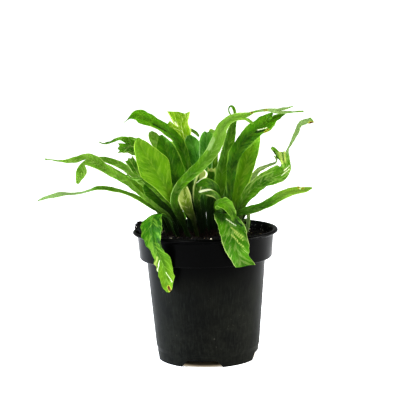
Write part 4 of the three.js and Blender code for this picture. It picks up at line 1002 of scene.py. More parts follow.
def mid_surface(frond):
    """The sheet in the middle of a frond's thickness: its points, the way each faces, the way out to the
    margin, what each carries, and the quads between them."""
    widest = max(row[3] for row in midrib(frond))
    coarse = max(4 if widest > NARROW else 2, quads_across(frond))
    finer = max(2, round(2 * widest / coarse / ACROSS_STEP))
    stretches = []
    lay_stretch(stretches, frond, coarse, finer, None, None, 0.0)
    points, facing, outward, carried, faces = [], [], [], [], []
    total = 0
    ends = []
    for stretch in stretches:
        parent = stretch["parent"]
        before = ends[parent[0]][1][parent[1]:parent[2] + 1] if parent else None
        rows, tangent = finer_rows(stretch, before)
        middle = rows[:, :, :3]
        normal = np.cross(np.gradient(middle, axis=1), np.gradient(middle, axis=0))
        normal /= np.maximum(np.linalg.norm(normal, axis=2, keepdims=True), 1e-9)
        side = np.gradient(middle, axis=1)
        side /= np.maximum(np.linalg.norm(side, axis=2, keepdims=True), 1e-9)
        count, wide = middle.shape[:2]
        upper = np.empty((count, wide), int)
        first = 0
        if parent:
            upper[0] = ends[parent[0]][0][parent[1]:parent[2] + 1]
            first = 1
        upper[first:] = total + np.arange((count - first) * wide).reshape(-1, wide)
        total += (count - first) * wide
        points.append(middle[first:].reshape(-1, 3))
        facing.append(normal[first:].reshape(-1, 3))
        sign = np.sign(rows[first:, :, 4])[:, :, None]
        outward.append((side[first:] * sign).reshape(-1, 3))
        carried.append(rows[first:, :, 3:].reshape(-1, 5))
        a, b = upper[:-1, :-1].ravel(), upper[:-1, 1:].ravel()
        c, d = upper[1:, 1:].ravel(), upper[1:, :-1].ravel()
        faces.append(np.stack([a, b, c, d], 1))
        ends.append((upper[-1], tangent))
    return [np.concatenate(parts) for parts in (points, facing, outward, carried, faces)]


def both_skins(values):
    """The same values for the upper skin and the lower."""
    return np.concatenate([values, values])


def blade_mesh(name, frond, seed):
    """A closed thin blade: an upper and a lower skin over a frond's mid surface, joined at the margins."""
    points, facing, outward, carried, faces = mid_surface(frond)
    half_thick = carried[:, 3:4] / 2
    skins = np.concatenate([points + facing * half_thick, points - facing * half_thick])
    n = len(points)
    # An edge that belongs to one face alone is on the margin, and gets a strip between the two skins.
    runs = np.concatenate([faces[:, [0, 1]], faces[:, [1, 2]], faces[:, [2, 3]], faces[:, [3, 0]]])
    pair = np.sort(runs, axis=1)
    _, where, times = np.unique(pair[:, 0] * n + pair[:, 1], return_index=True, return_counts=True)
    rim = runs[where[times == 1]]
    strips = np.stack([rim[:, 1], rim[:, 0], rim[:, 0] + n, rim[:, 1] + n], 1)
    mesh = plain_mesh(name, in_place(skins), np.concatenate([faces, faces[:, ::-1] + n, strips]))
    for key, column in (("along", 0), ("across", 1), ("half", 2), ("calm", 4)):
        give(mesh, key, "FLOAT", both_skins(carried[:, column]))
    give(mesh, "under", "FLOAT", np.repeat([0.0, 1.0], n))
    give(mesh, "draw", "FLOAT", np.full(2 * n, seed * DRAW_STEP))
    give(mesh, "facing", "FLOAT_VECTOR", both_skins(facing))
    give(mesh, "outward", "FLOAT_VECTOR", both_skins(outward))
    for kind in MARK_KINDS:
        give(mesh, kind, "FLOAT", both_skins(marked(points, MARKS.get(name, []), kind)))
    # The stalk's foot is darker of its own, and the heart of the clump is painted shade.
    give(mesh, "dark_foot_and_shade", "FLOAT", both_skins(darkness(name, points, carried[:, 0])))
    return mesh


def show(mesh, name):
    """Puts a mesh into the scene as a piece of its own."""
    piece = bpy.data.objects.new(name, mesh)
    bpy.context.scene.collection.objects.link(piece)
    return piece


def tree_inputs(tree, floats):
    """The group's interface: the geometry, a named size for each entry of floats, and the finish."""
    tree.interface.new_socket("Geometry", in_out="INPUT", socket_type="NodeSocketGeometry")
    for name in floats:
        tree.interface.new_socket(name, in_out="INPUT", socket_type="NodeSocketFloat")
    tree.interface.new_socket("Finish", in_out="INPUT", socket_type="NodeSocketMaterial")
    tree.interface.new_socket("Geometry", in_out="OUTPUT", socket_type="NodeSocketGeometry")
    return put(tree, "NodeGroupInput")


def close_tree(tree, geometry, source):
    """Makes the instances real and sets the finish."""
    solid = put(tree, "GeometryNodeRealizeInstances", (geometry,))[0]
    done = put(tree, "GeometryNodeSetMaterial", {"Geometry": solid, "Material": source["Finish"]})[0]
    put(tree, "NodeGroupOutput", (done,))


def finished(piece):
    """Leaves what a piece's modifiers make of it as its plain mesh."""
    graph = bpy.context.evaluated_depsgraph_get()
    mesh = bpy.data.meshes.new_from_object(
        piece.evaluated_get(graph), preserve_all_data_layers=True, depsgraph=graph)
    piece.modifiers.clear()
    old, piece.data = piece.data, mesh
    bpy.data.meshes.remove(old)
    return mesh


def worked(piece, tree, **values):
    """Runs a tree over a piece, with its named inputs filled."""
    modifier = piece.modifiers.new("work", "NODES")
    modifier.node_group = tree
    sockets = {item.name: item.identifier for item in tree.interface.items_tree if item.in_out == "INPUT"}
    for name, value in values.items():
        modifier[sockets[name.replace("_", " ")]] = value
    finished(piece)
    return piece


def blade_relief_tree():
    """Ripples, a crinkled margin and raised side veins for a blade, from what its mesh carries."""
    tree = bpy.data.node_groups.new("blade relief", "GeometryNodeTree")
    source = tree_inputs(tree, [
        "Ripple Height", "Ripple Length", "Crinkle", "Vein Spacing", "Vein Height", "Seed"])
    along, across, half, calm = (
        put(tree, "GeometryNodeInputNamedAttribute", {"Name": key}, data_type="FLOAT")["Attribute"]
        for key in ("along", "across", "half", "calm"))
    facing, outward = (
        put(tree, "GeometryNodeInputNamedAttribute", {"Name": key}, data_type="FLOAT_VECTOR")["Attribute"]
        for key in ("facing", "outward"))
    away = put(tree, "ShaderNodeMath", (across,), operation="ABSOLUTE")[0]
    share = put(tree, "ShaderNodeMapRange", (away, 0.0, half))[0]
    # Three slow random runs along the blade, different on each side of the rib: one for its ripples, one of
    # 9 mm that bends the veins, and one of 5.5 mm for the crinkle of the margin.
    side = put(tree, "ShaderNodeMath", (across,), operation="SIGN")[0]
    hand = put(tree, "ShaderNodeMath", (side, 3.7), operation="MULTIPLY")[0]
    drifts = []
    for length, offset in ((source["Ripple Length"], 0.0), (9.0, 5.0), (5.5, 11.0)):
        far = put(tree, "ShaderNodeMath", (along, length), operation="DIVIDE")[0]
        draw = put(tree, "ShaderNodeMath", (source["Seed"], DRAW_STEP, offset), operation="MULTIPLY_ADD")[0]
        place = put(tree, "ShaderNodeCombineXYZ", (far, hand, draw))[0]
        noisy = put(tree, "ShaderNodeTexNoise", {"Vector": place, "Scale": 1.0, "Detail": 2.0})["Fac"]
        drifts.append(put(tree, "ShaderNodeMath", (noisy, 0.5), operation="SUBTRACT")[0])
    ripple, bend, crinkle = drifts
    edge = put(tree, "ShaderNodeMath", (share, 2.0), operation="POWER")[0]
    ripple = put(tree, "ShaderNodeMath", (ripple, edge), operation="MULTIPLY")[0]
    # A side vein leaves the rib towards the tip: points on one vein share the same value of run.
    run = put(tree, "ShaderNodeMath", (away, -VEIN_SWEEP, along), operation="MULTIPLY_ADD")[0]
    run = put(tree, "ShaderNodeMath", (bend, 2.0, run), operation="MULTIPLY_ADD")[0]
    reach = put(tree, "ShaderNodeMath", (source["Vein Spacing"], 0.5), operation="MULTIPLY")[0]
    saw = put(tree, "ShaderNodeMath", (run, reach), operation="PINGPONG")[0]
    ridge = put(tree, "ShaderNodeMapRange", (saw, 0.7, 0.0))[0]
    for fade in (put(tree, "ShaderNodeMapRange", (edge, 1.0, 0.0))[0],
                 put(tree, "ShaderNodeMapRange", (half, 0.0, 4.0))[0], source["Vein Height"]):
        ridge = put(tree, "ShaderNodeMath", (ridge, fade), operation="MULTIPLY")[0]
    lift = put(tree, "ShaderNodeMath", (
        ripple, source["Ripple Height"], ridge), operation="MULTIPLY_ADD")[0]
    wander = put(tree, "ShaderNodeMath", (share, 3.0), operation="POWER")[0]
    for factor in (crinkle, source["Crinkle"]):
        wander = put(tree, "ShaderNodeMath", (wander, factor), operation="MULTIPLY")[0]
    offset = (0.0, 0.0, 0.0)
    for way, much in ((facing, lift), (outward, wander)):
        for factor in (calm, MM):
            much = put(tree, "ShaderNodeMath", (much, factor), operation="MULTIPLY")[0]
        shift = put(tree, "ShaderNodeVectorMath", {0: way, "Scale": much}, operation="SCALE")[0]
        offset = put(tree, "ShaderNodeVectorMath", (offset, shift), operation="ADD")[0]
    moved = put(tree, "GeometryNodeSetPosition", {"Geometry": source["Geometry"], "Offset": offset})[0]
    close_tree(tree, moved, source)
    return tree


# ---- The fronds' finish ----
SOFT = {"interpolation_type": "SMOOTHSTEP"}  # a fade with a soft start and end


def new_finish(name):
    """A new material, with its tree still empty, and that tree."""
    made = bpy.data.materials.new(name)
    made.use_nodes = True
    made.node_tree.nodes.clear()
    return made, made.node_tree


def coated(tree, ground, coats):
    """The ground colour under coats, each laid over the last. A coat is the value it follows, where that
    value starts to show it, where it is full, how well it then covers, and its colour."""
    color = linear(ground)
    for value, start, full, cover, paint in coats:
        mask = put(tree, "ShaderNodeMapRange", (value, start, full, 0.0, cover), **SOFT)[0]
        color = put(tree, "ShaderNodeMix", {0: mask, 6: color, 7: linear(paint)}, data_type="RGBA")[2]
    return color


def close_finish(tree, color, roughness, normal, **fixed):
    """Ends a finish in its shader, with what is the same all over the surface set on it."""
    shader = put(tree, "ShaderNodeBsdfPrincipled", {
        "Base Color": color, "Roughness": roughness, "Normal": normal, **fixed})[0]
    put(tree, "ShaderNodeOutputMaterial", {"Surface": shader})


def blade_finish(
        name, deep, fresh, cream, streaks=0.0, marbled=0.12, lined=0.0, rim=0.5, pale_rim=0.35, ripe_and_sheen=None,
        turn=(0.0, 1.0)):
    """Living fern leaf: a waxy skin over green flesh, so it is softly glossy, lets a little light through,
    and shows its side veins and the fine net between them."""
    made, tree = new_finish(name)
    along, across, half, under, draw, dark_foot_and_shade, scorch, paint, butter, bleach_and_sheen, shade = (
        put(tree, "ShaderNodeAttribute", attribute_name=key)["Fac"] for key in (
            "along", "across", "half", "under", "draw", "dark_foot_and_shade", *MARK_KINDS))
    away = put(tree, "ShaderNodeMath", (across,), operation="ABSOLUTE")[0]
    run = put(tree, "ShaderNodeMath", (away, -VEIN_SWEEP, along), operation="MULTIPLY_ADD")[0]
    place = put(tree, "ShaderNodeCombineXYZ", (along, across, draw))[0]
    # Patches of older and younger green, about 15 mm long, and mottle about 2 mm across.
    patches = put(tree, "ShaderNodeTexNoise", {"Vector": place, "Scale": 0.066, "Detail": 3.0})["Fac"]
    mottle = put(tree, "ShaderNodeTexNoise", {"Vector": place, "Scale": 0.5, "Detail": 4.0})["Fac"]
    # Fibres that run with the rib, 1 mm wide and 15 mm long.
    strung = put(tree, "ShaderNodeMapping", {"Vector": place, "Scale": (0.065, 0.9, 1.0)})[0]
    fibre = put(tree, "ShaderNodeTexNoise", {"Vector": strung, "Scale": 1.0, "Detail": 3.0})["Fac"]
    side = put(tree, "ShaderNodeMath", (across,), operation="SIGN")[0]
    hand = put(tree, "ShaderNodeMath", (side, 5.3, draw), operation="MULTIPLY_ADD")[0]
    swept = put(tree, "ShaderNodeCombineXYZ", (run, away, hand))[0]
    # Feathered variegation follows the side veins, 1 mm wide and 10 mm long, and so do finer barbs of light
    # and dark and cloudy patches 3 mm wide.
    feathers = []
    for scale in ((0.9, 0.09, 1.0), (1.3, 0.17, 3.0), (0.3, 0.16, 0.7)):
        laid = put(tree, "ShaderNodeMapping", {"Vector": swept, "Scale": scale})[0]
        feathers.append(put(tree, "ShaderNodeTexNoise", {
            "Vector": laid, "Scale": 1.0, "Detail": 3.0, "Roughness": 0.6})["Fac"])
    flame, barb, marble = feathers
    # None of it on a stalk, or where the blade is still narrow.
    grown = put(tree, "ShaderNodeMath", (
        put(tree, "ShaderNodeMapRange", (half, 1.8, 3.0))[0],
        put(tree, "ShaderNodeMapRange", (along, 24.0, 40.0))[0]), operation="MINIMUM")[0]
    flame = put(tree, "ShaderNodeMath", (flame, grown), operation="MULTIPLY")[0]
    # Side veins, and the fine net between them, drawn about 1.6 mm across so that it shows.
    vein = put(tree, "ShaderNodeMath", (run, VEIN_SPACING / 2), operation="PINGPONG")[0]
    knit = put(tree, "ShaderNodeCombineXYZ", (
        run, put(tree, "ShaderNodeMath", (away, 1.3), operation="MULTIPLY")[0], draw))[0]
    net = put(tree, "ShaderNodeTexVoronoi", {"Vector": knit, "Scale": 0.6}, feature="DISTANCE_TO_EDGE")[0]
    # The rib shows where the blade is wide, and the margin is uneven.
    rib = put(tree, "ShaderNodeMapRange", (away, 0.75, 0.25), **SOFT)[0]
    broad = put(tree, "ShaderNodeMapRange", (half, 1.0, 3.0))[0]
    rib = put(tree, "ShaderNodeMath", (rib, broad), operation="MULTIPLY")[0]
    inset = put(tree, "ShaderNodeMath", (half, away), operation="SUBTRACT")[0]
    share = put(tree, "ShaderNodeMath", (away, half), operation="DIVIDE")[0]
    ragged = put(tree, "ShaderNodeMath", (patches, 2.4, inset), operation="MULTIPLY_ADD")[0]
    ragged = put(tree, "ShaderNodeMath", (ragged, put(
        tree, "ShaderNodeMapRange", (grown, 0.0, 1.0, 4.0, 0.0))[0]), operation="ADD")[0]
    split = put(tree, "ShaderNodeMath", (fibre, 0.9, bleach_and_sheen), operation="MULTIPLY_ADD")[0]
    edge = 0.78 - 0.3 * streaks
    # The greens lie lowest, then the cream, and over them the marks, the dark foot and painted shade, and
    # the lower side.
    color = coated(tree, deep, [
        (patches, 0.34, 0.66, 1.0, fresh),
        (fibre, 0.5, 0.72, 0.3, fresh),
        (barb, 0.47, 0.34, 0.5, deep),
        (barb, 0.5, 0.68, 0.4, fresh),
        (barb, 0.6, 0.75, 0.14, cream),
        (mottle, 0.3, 0.75, 0.25, fresh),
        # Turned colour towards the tip; on fresh_green_blade this is a painted sheen.
        (along, *turn, 0.85 if ripe_and_sheen else 0.0, ripe_and_sheen or fresh),
        (share, 0.65, 0.0, 0.4, deep),
        (marble, 0.48, 0.62, marbled, cream),
        (fibre, 0.54, 0.64, lined, cream),
        (vein, 0.5, 0.0, 0.12, fresh),
        (net, 0.12, 0.0, 0.12, fresh),
        (flame, edge, edge + 0.1, 0.85, cream),
        (rib, 0.0, 1.0, 0.04, cream),
        (ragged, rim + 1.2, rim * 0.3 + 1.2, pale_rim, cream),
        # Paled blades, and on the s_curve a painted sheen.
        (split, 0.55, 1.15, 0.75, "#748C54"),
        # Painted shade, in folds and under leaves above.
        (shade, 0.0, 1.0, 0.85, "#0E2603"),
        # Painted shade in the heart of the clump, over a stalk foot that is darker of its own.
        (dark_foot_and_shade, 0.0, 1.0, 0.96, "#071402"),
        (butter, 0.1, 0.9, 0.85, "#93A350"),
        (paint, 0.3, 0.95, 0.85, "#E4E8C2"),
        (scorch, 0.02, 0.35, 0.8, "#A5A034"),
        (scorch, 0.4, 0.8, 1.0, "#4A2A10"),
        (under, 0.0, 1.0, 0.15, "#5E8A3C"),  # the lower side is paler and duller
    ])
    gloss = put(tree, "ShaderNodeMapRange", (mottle, 0.2, 0.8, 0.4, 0.53))[0]
    rough = put(tree, "ShaderNodeMath", (under, 0.15, gloss), operation="MULTIPLY_ADD")[0]
    skin = put(tree, "ShaderNodeTexNoise", {"Vector": place, "Scale": 2.2, "Detail": 3.0})["Fac"]
    # In relief are a skin grain of 0.5 mm, the net, the barbs and a groove along each side vein.
    height = put(tree, "ShaderNodeMapRange", (net, 0.0, 0.35, 0.0, 0.6), **SOFT)[0]
    groove = put(tree, "ShaderNodeMapRange", (vein, 0.8, 0.0, 0.0, -0.3), **SOFT)[0]
    for layer, much in ((skin, 0.4), (barb, 1.2), (groove, 1.0)):
        height = put(tree, "ShaderNodeMath", (layer, much, height), operation="MULTIPLY_ADD")[0]
    normal = put(tree, "ShaderNodeBump", {"Height": height, "Strength": 0.6, "Distance": 0.0004})[0]
    close_finish(tree, color, rough, normal, **{
        "IOR": 1.45, "Specular IOR Level": 0.08, "Subsurface Weight": 0.1, "Subsurface Scale": 0.002,
        "Subsurface Radius": (0.6, 1.0, 0.25)})
    return made


# ---- The pot ----
def inside_radius(z):
    """How far the inside of the pot's wall is from the axis at a height."""
    if z < COLLAR_BOTTOM_Z + COLLAR_STEP:
        return FOOT_RADIUS + (BODY_TOP_RADIUS - FOOT_RADIUS) * (z / COLLAR_BOTTOM_Z) - WALL
    return COLLAR_RADIUS - WALL + (z - COLLAR_BOTTOM_Z) * COLLAR_FLARE


def eased_outline(points, radius, closed):
    """The outline with a small arc at each corner, as a mould leaves it."""
    made = []
    n = len(points)
    for i, p in enumerate(points):
        if not closed and i in (0, n - 1):
            made.append(Vector(p))
            continue
        here, back, on = Vector(p), Vector(points[i - 1]), Vector(points[(i + 1) % n])
        cut = min(radius, (back - here).length * 0.45, (on - here).length * 0.45)
        start, end = here + (back - here).normalized() * cut, here + (on - here).normalized() * cut
        made += [start.lerp(here, t).lerp(here.lerp(end, t), t) for t in (0, 0.25, 0.5, 0.75, 1)]
    return made


def turned(name, outline, sides, closed):
    """An outline of (radius, z) turned about the pot's axis, closed on the axis or on itself."""
    rings, points, faces = [], [], []
    turns = np.linspace(0, 2 * math.pi, sides, endpoint=False)
    for r, z in outline:
        if r < 1e-6:
            rings.append([len(points)] * sides)
            points.append((0, 0, z))
        else:
            rings.append(list(range(len(points), len(points) + sides)))
            points += [(r * math.cos(a), r * math.sin(a), z) for a in turns]
    pairs = list(zip(rings, rings[1:])) + ([(rings[-1], rings[0])] if closed else [])
    for low, high in pairs:
        for i in range(sides):
            j = (i + 1) % sides
            face = list(dict.fromkeys((low[i], low[j], high[j], high[i])))
            if len(face) > 2:
                faces.append(face)
    mesh = bpy.data.meshes.new(name)
    mesh.from_pydata([tuple(p) for p in in_place(points)], [], faces)
    return mesh


def outward_faces(mesh):
    """Joins the seam of a turned mesh and points its faces out."""
    work = bmesh.new()
    work.from_mesh(mesh)
    bmesh.ops.remove_doubles(work, verts=work.verts, dist=1e-7)
    bmesh.ops.recalc_face_normals(work, faces=work.faces)
    work.to_mesh(mesh)
    work.free()


def soften(mesh, degrees):
    """Shades a mesh smooth, apart from the edges that are sharper than this."""
    mesh.polygons.foreach_set("use_smooth", [True] * len(mesh.polygons))
    mesh.set_sharp_from_angle(angle=math.radians(degrees))


def prism(work, outline, depth, place):
    """An upright prism over a flat outline, in the bmesh work, moved by the matrix place."""
    low = [work.verts.new(place @ Vector((x, y, 0))) for x, y in outline]
    high = [work.verts.new(place @ Vector((x, y, depth))) for x, y in outline]
    work.faces.new(low[::-1])
    work.faces.new(high)
    for i in range(len(outline)):
        j = (i + 1) % len(outline)
        work.faces.new((low[i], low[j], high[j], high[i]))


def pot_cutters():
    """The notches in the foot and the drain slots in the base."""
    work = bmesh.new()
    wide, slope, height = NOTCHES["width"] / 2, NOTCHES["slope"], NOTCHES["height"]
    notch = [(-wide, -1), (wide, -1), (wide, 0), (wide - slope, height), (slope - wide, height), (-wide, 0)]
    notch = [tuple(p) for p in eased_outline(notch, NOTCHES["ease"], True)]
    half = DRAIN["width"] / 2
    arc = [math.radians(a) for a in range(-90, 91, 15)]
    slot = [(DRAIN["outer"] + half * math.cos(a), half * math.sin(a)) for a in arc]
    slot += [(DRAIN["inner"] - half * math.cos(a), -half * math.sin(a)) for a in arc]
    for i in range(NOTCHES["count"]):
        turn = math.radians(NOTCHES["turn"] + 360 * i / NOTCHES["count"])
        round_axis = Matrix.Rotation(turn, 4, "Z")
        # A notch's outline is stood up and run out through the foot. A slot's goes up through the base.
        stand = Matrix.Rotation(math.pi / 2, 4, "X")
        prism(work, notch, 12, round_axis @ Matrix.Translation((0, -FOOT_RADIUS + 8, 0)) @ stand)
        between = Matrix.Rotation(turn - math.pi / 2, 4, "Z")
        prism(work, slot, 6, between @ Matrix.Translation((0, 0, FLOOR_Z - 4)))
    mesh = bpy.data.meshes.new("pot cutters")
    bmesh.ops.recalc_face_normals(work, faces=work.faces)
    work.to_mesh(mesh)
    work.free()
    co = np.empty(len(mesh.vertices) * 3)
    mesh.vertices.foreach_get("co", co)
    mesh.vertices.foreach_set("co", in_place(co.reshape(-1, 3)).ravel())
    return show(mesh, "pot_cutters")


def nursery_pot():
    """The moulded pot, turned from its outline, with its notches, drain slots and gate pip."""
    top, inner, collar = POT_HEIGHT, inside_radius, COLLAR_BOTTOM_Z
    outline = [
        # Under the base and down to the foot,
        (DRAIN["centre"], FLOOR_Z - FLOOR_THICKNESS), (FOOT_RADIUS - 2.6, FLOOR_Z - FLOOR_THICKNESS),
        (FOOT_RADIUS - WALL - 0.3, FLOOR_Z - 3), (FOOT_RADIUS - WALL, 0), (FOOT_RADIUS, 0),
        # up the body and the collar,
        (FOOT_RADIUS + 0.2, 8), (FOOT_RADIUS + 1.2, 11.5), (BODY_TOP_RADIUS, collar + 0.3),
        (COLLAR_RADIUS - 0.8, collar), (COLLAR_RADIUS, collar + 0.9), (COLLAR_RADIUS + 1.4, top - 4),
        # over the rolled lip,
        (LIP_RADIUS - 1.2, top - 3), (LIP_RADIUS, top - 2.2), (LIP_RADIUS, top - 1.1),
        (LIP_RADIUS - 0.9, top - 0.1), (LIP_RADIUS - 2.2, top), (LIP_RADIUS - 3.6, top - 0.7),
        # and down the inside.
        (inner(top - 3), top - 3), (inner(collar + 1.6), collar + 1.6), (inner(collar), collar + 1),
        (inner(FLOOR_Z), FLOOR_Z), (DRAIN["centre"], FLOOR_Z),
    ]
    mesh = turned("nursery_pot", eased_outline(outline, POT_EASE, True), POT_SIDES, True)
    outward_faces(mesh)
    pot = show(mesh, "nursery_pot")
    cutters = pot_cutters()
    cut = pot.modifiers.new("cut", "BOOLEAN")
    cut.object = cutters
    cut.operation = "DIFFERENCE"
    cut.solver = "MANIFOLD"
    made = finished(pot)
    bpy.data.objects.remove(cutters)
    work = bmesh.new()
    work.from_mesh(made)
    pip = bmesh.ops.create_icosphere(work, subdivisions=3, radius=1.0)["verts"]
    centre = Vector(in_place([GATE_PIP["place"]])[0])
    wide, deep, high = GATE_PIP["half"]
    for vert in pip:
        vert.co = centre + Vector((vert.co.x * wide, vert.co.y * deep, vert.co.z * high)) * MM
    work.to_mesh(made)
    work.free()
    made.name = "nursery_pot"
    # Soil sticks to the inside of the wall.
    give(made, "muddy", "FLOAT", [
        float(z > FLOOR_Z - 0.5 and math.hypot(x, y) < inside_radius(z) + 0.3)
        for x, y, z in (from_axis(vert.co) for vert in made.vertices)])
    soften(made, 32)
    return pot


def moulded_polypropylene():
    """Black polypropylene from a fine-grained mould: low gloss, faintly clouded, with soft upright drag
    lines where it left the mould. Use has left dust on it, scuffs low down, soil and limescale inside."""
    made, tree = new_finish("moulded_polypropylene")
    place = put(tree, "ShaderNodeMapping", {
        "Vector": put(tree, "ShaderNodeTexCoord")["Object"],
        "Location": (-POT_AXIS[0] * MM, -POT_AXIS[1] * MM, 0)})[0]
    # Clouds about 18 mm across.
    cloud = put(tree, "ShaderNodeTexNoise", {"Vector": place, "Scale": 55.0, "Detail": 3.0})["Fac"]
    drawn = put(tree, "ShaderNodeMapping", {"Vector": place, "Scale": (1.0, 1.0, 0.045)})[0]
    # Drag lines about 0.8 mm apart, drawn coarser than real so that they show.
    drag = put(tree, "ShaderNodeTexNoise", {"Vector": drawn, "Scale": 1250.0, "Detail": 2.0})["Fac"]
    # Dust settles in some of the clouds, in specks up to 2 mm apart.
    dust = put(tree, "ShaderNodeTexNoise", {
        "Vector": place, "Scale": 420.0, "Detail": 5.0, "Roughness": 0.75})["Fac"]
    settled = put(tree, "ShaderNodeMapRange", (cloud, 0.45, 0.65, 0.15, 0.6), **SOFT)[0]
    specks = put(tree, "ShaderNodeMapRange", (dust, 0.62, 0.72, 0.0, settled), **SOFT)[0]
    # The collar is painted near black, as painted shade, and is glossier than the foot, where handling has
    # scuffed the wall in patches 4 mm across.
    high = put(tree, "ShaderNodeSeparateXYZ", (place,))[2]
    collar_painted_shade = put(tree, "ShaderNodeMapRange", (high, 0.055, 0.085))[0]
    scuff = put(tree, "ShaderNodeTexNoise", {
        "Vector": place, "Scale": 260.0, "Detail": 5.0, "Roughness": 0.8})["Fac"]
    worn = put(tree, "ShaderNodeMapRange", (high, 0.06, 0.015, 0.1, 0.45))[0]
    muddy = put(tree, "ShaderNodeAttribute", attribute_name="muddy")["Fac"]
    # Hard water leaves a pale crust of specks on the inside, over the soil.
    crust = put(tree, "ShaderNodeMapRange", (dust, 0.56, 0.66, 0.0, muddy), **SOFT)[0]
    color = coated(tree, "#0B0C0A", [
        (cloud, 0.35, 0.7, 1.0, "#131410"),
        (drag, 0.45, 0.75, 0.5, "#1E201C"),
        (scuff, 0.45, 0.7, worn, "#22231E"),
        (scuff, 0.46, 0.36, worn, "#060605"),
        (specks, 0.0, 1.0, 1.0, "#504E46"),
        (collar_painted_shade, 0.0, 1.0, 0.95, "#010101"),
        (muddy, 0.4, 0.6, 0.9, "#070503"),
        (crust, 0.0, 1.0, 0.8, "#8C8A80"),
    ])
    rough = put(tree, "ShaderNodeMapRange", (cloud, 0.3, 0.7, 0.34, 0.44))[0]
    for layer, much in ((specks, 0.25), (drag, 0.1), (collar_painted_shade, -0.12), (muddy, 0.5)):
        rough = put(tree, "ShaderNodeMath", (layer, much, rough), operation="MULTIPLY_ADD")[0]
    # Mould grain about 0.4 mm.
    grain = put(tree, "ShaderNodeTexNoise", {"Vector": place, "Scale": 2400.0, "Detail": 2.0})["Fac"]
    height = put(tree, "ShaderNodeMath", (grain, 0.3), operation="MULTIPLY")[0]
    height = put(tree, "ShaderNodeMath", (drag, 0.7, height), operation="MULTIPLY_ADD")[0]
    normal = put(tree, "ShaderNodeBump", {"Height": height, "Strength": 0.3, "Distance": 0.00012})[0]
    close_finish(tree, color, rough, normal, **{"IOR": 1.49, "Specular IOR Level": 0.03})
    return made


# ---- Potting mix and rhizome ----
def soil_body():
    """The moist mix, up to its uneven top, with clods heaped over the left rim."""
    def edge(z):
        return inside_radius(z) - GAP

    collar = COLLAR_BOTTOM_Z
    side = [
        (0, FLOOR_Z + GAP), (edge(FLOOR_Z), FLOOR_Z + GAP), (edge(collar), collar + 1),
        (edge(collar), collar + 2.2), (edge(collar + 3) - 0.1, collar + 2.2),
    ]
    top = [
        (edge(SOIL_EDGE_Z), SOIL_EDGE_Z - 1), (edge(SOIL_EDGE_Z) - 8, SOIL_EDGE_Z + SOIL_MOUND * 0.4),
        (28, SOIL_EDGE_Z + SOIL_MOUND * 0.9), (0, SOIL_EDGE_Z + SOIL_MOUND),
    ]
    radii = np.linspace(top[0][0], 0, SOIL_RINGS)
    levels = np.interp(radii, [r for r, _ in top[::-1]], [z for _, z in top[::-1]])
    mesh = turned("potting_bed", side + list(zip(radii, levels)), SOIL_SIDES, False)
    outward_faces(mesh)
    work = bmesh.new()
    work.from_mesh(mesh)
    for i, (x, y, z, r) in enumerate(CLODS):
        turn = Euler((i * 1.3, i * 2.1, i)).to_matrix().to_4x4()  # no two lie alike
        place = Matrix.Translation(Vector(in_place([(x, y, z)])[0])) @ turn
        bmesh.ops.create_icosphere(work, subdivisions=4, radius=r * MM * 0.95, matrix=place)
    for vert in work.verts:
        x, y, z = from_axis(vert.co)
        if z < SOIL_EDGE_Z - 2:
            continue
        at = Vector((x, y, z))
        # Lumps about 6, 2.6 and 1.2 mm across, which die down towards the wall.
        lump = 1.3 * noise.noise(at / 6) + 0.8 * noise.noise(at / 2.6) + 0.4 * noise.noise(at / 1.2)
        away = Vector((x, y, 0)).length
        lump *= min(1, max(0, (edge(SOIL_EDGE_Z) - 0.5 - away) / 3)) if z < SOIL_EDGE_Z + 2.5 else 1
        vert.co += (vert.normal if vert.normal.length else Vector((0, 0, 1))) * lump * MM
        # No clod reaches the pot: below the lip it stays inside the wall, and above it, clear over the top.
        x, y, z = from_axis(vert.co)
        away, most = math.hypot(x, y), edge(min(z, POT_HEIGHT - 3))
        if z < POT_HEIGHT + 0.4 and away > most:
            vert.co.x = (x * most / away + POT_AXIS[0]) * MM
            vert.co.y = (y * most / away + POT_AXIS[1]) * MM
    work.to_mesh(mesh)
    work.free()
    # What is strewn on top keeps off the wall, apart from where the clods stand over the lip.
    clear = edge(SOIL_EDGE_Z) - 2.2
    give(mesh, "top", "FLOAT", [
        float(z > SOIL_EDGE_Z - 1.5 and (math.hypot(x, y) < clear or z > POT_HEIGHT + 1.5))
        for x, y, z in (from_axis(vert.co) for vert in mesh.vertices)])
    return show(mesh, "potting_bed")


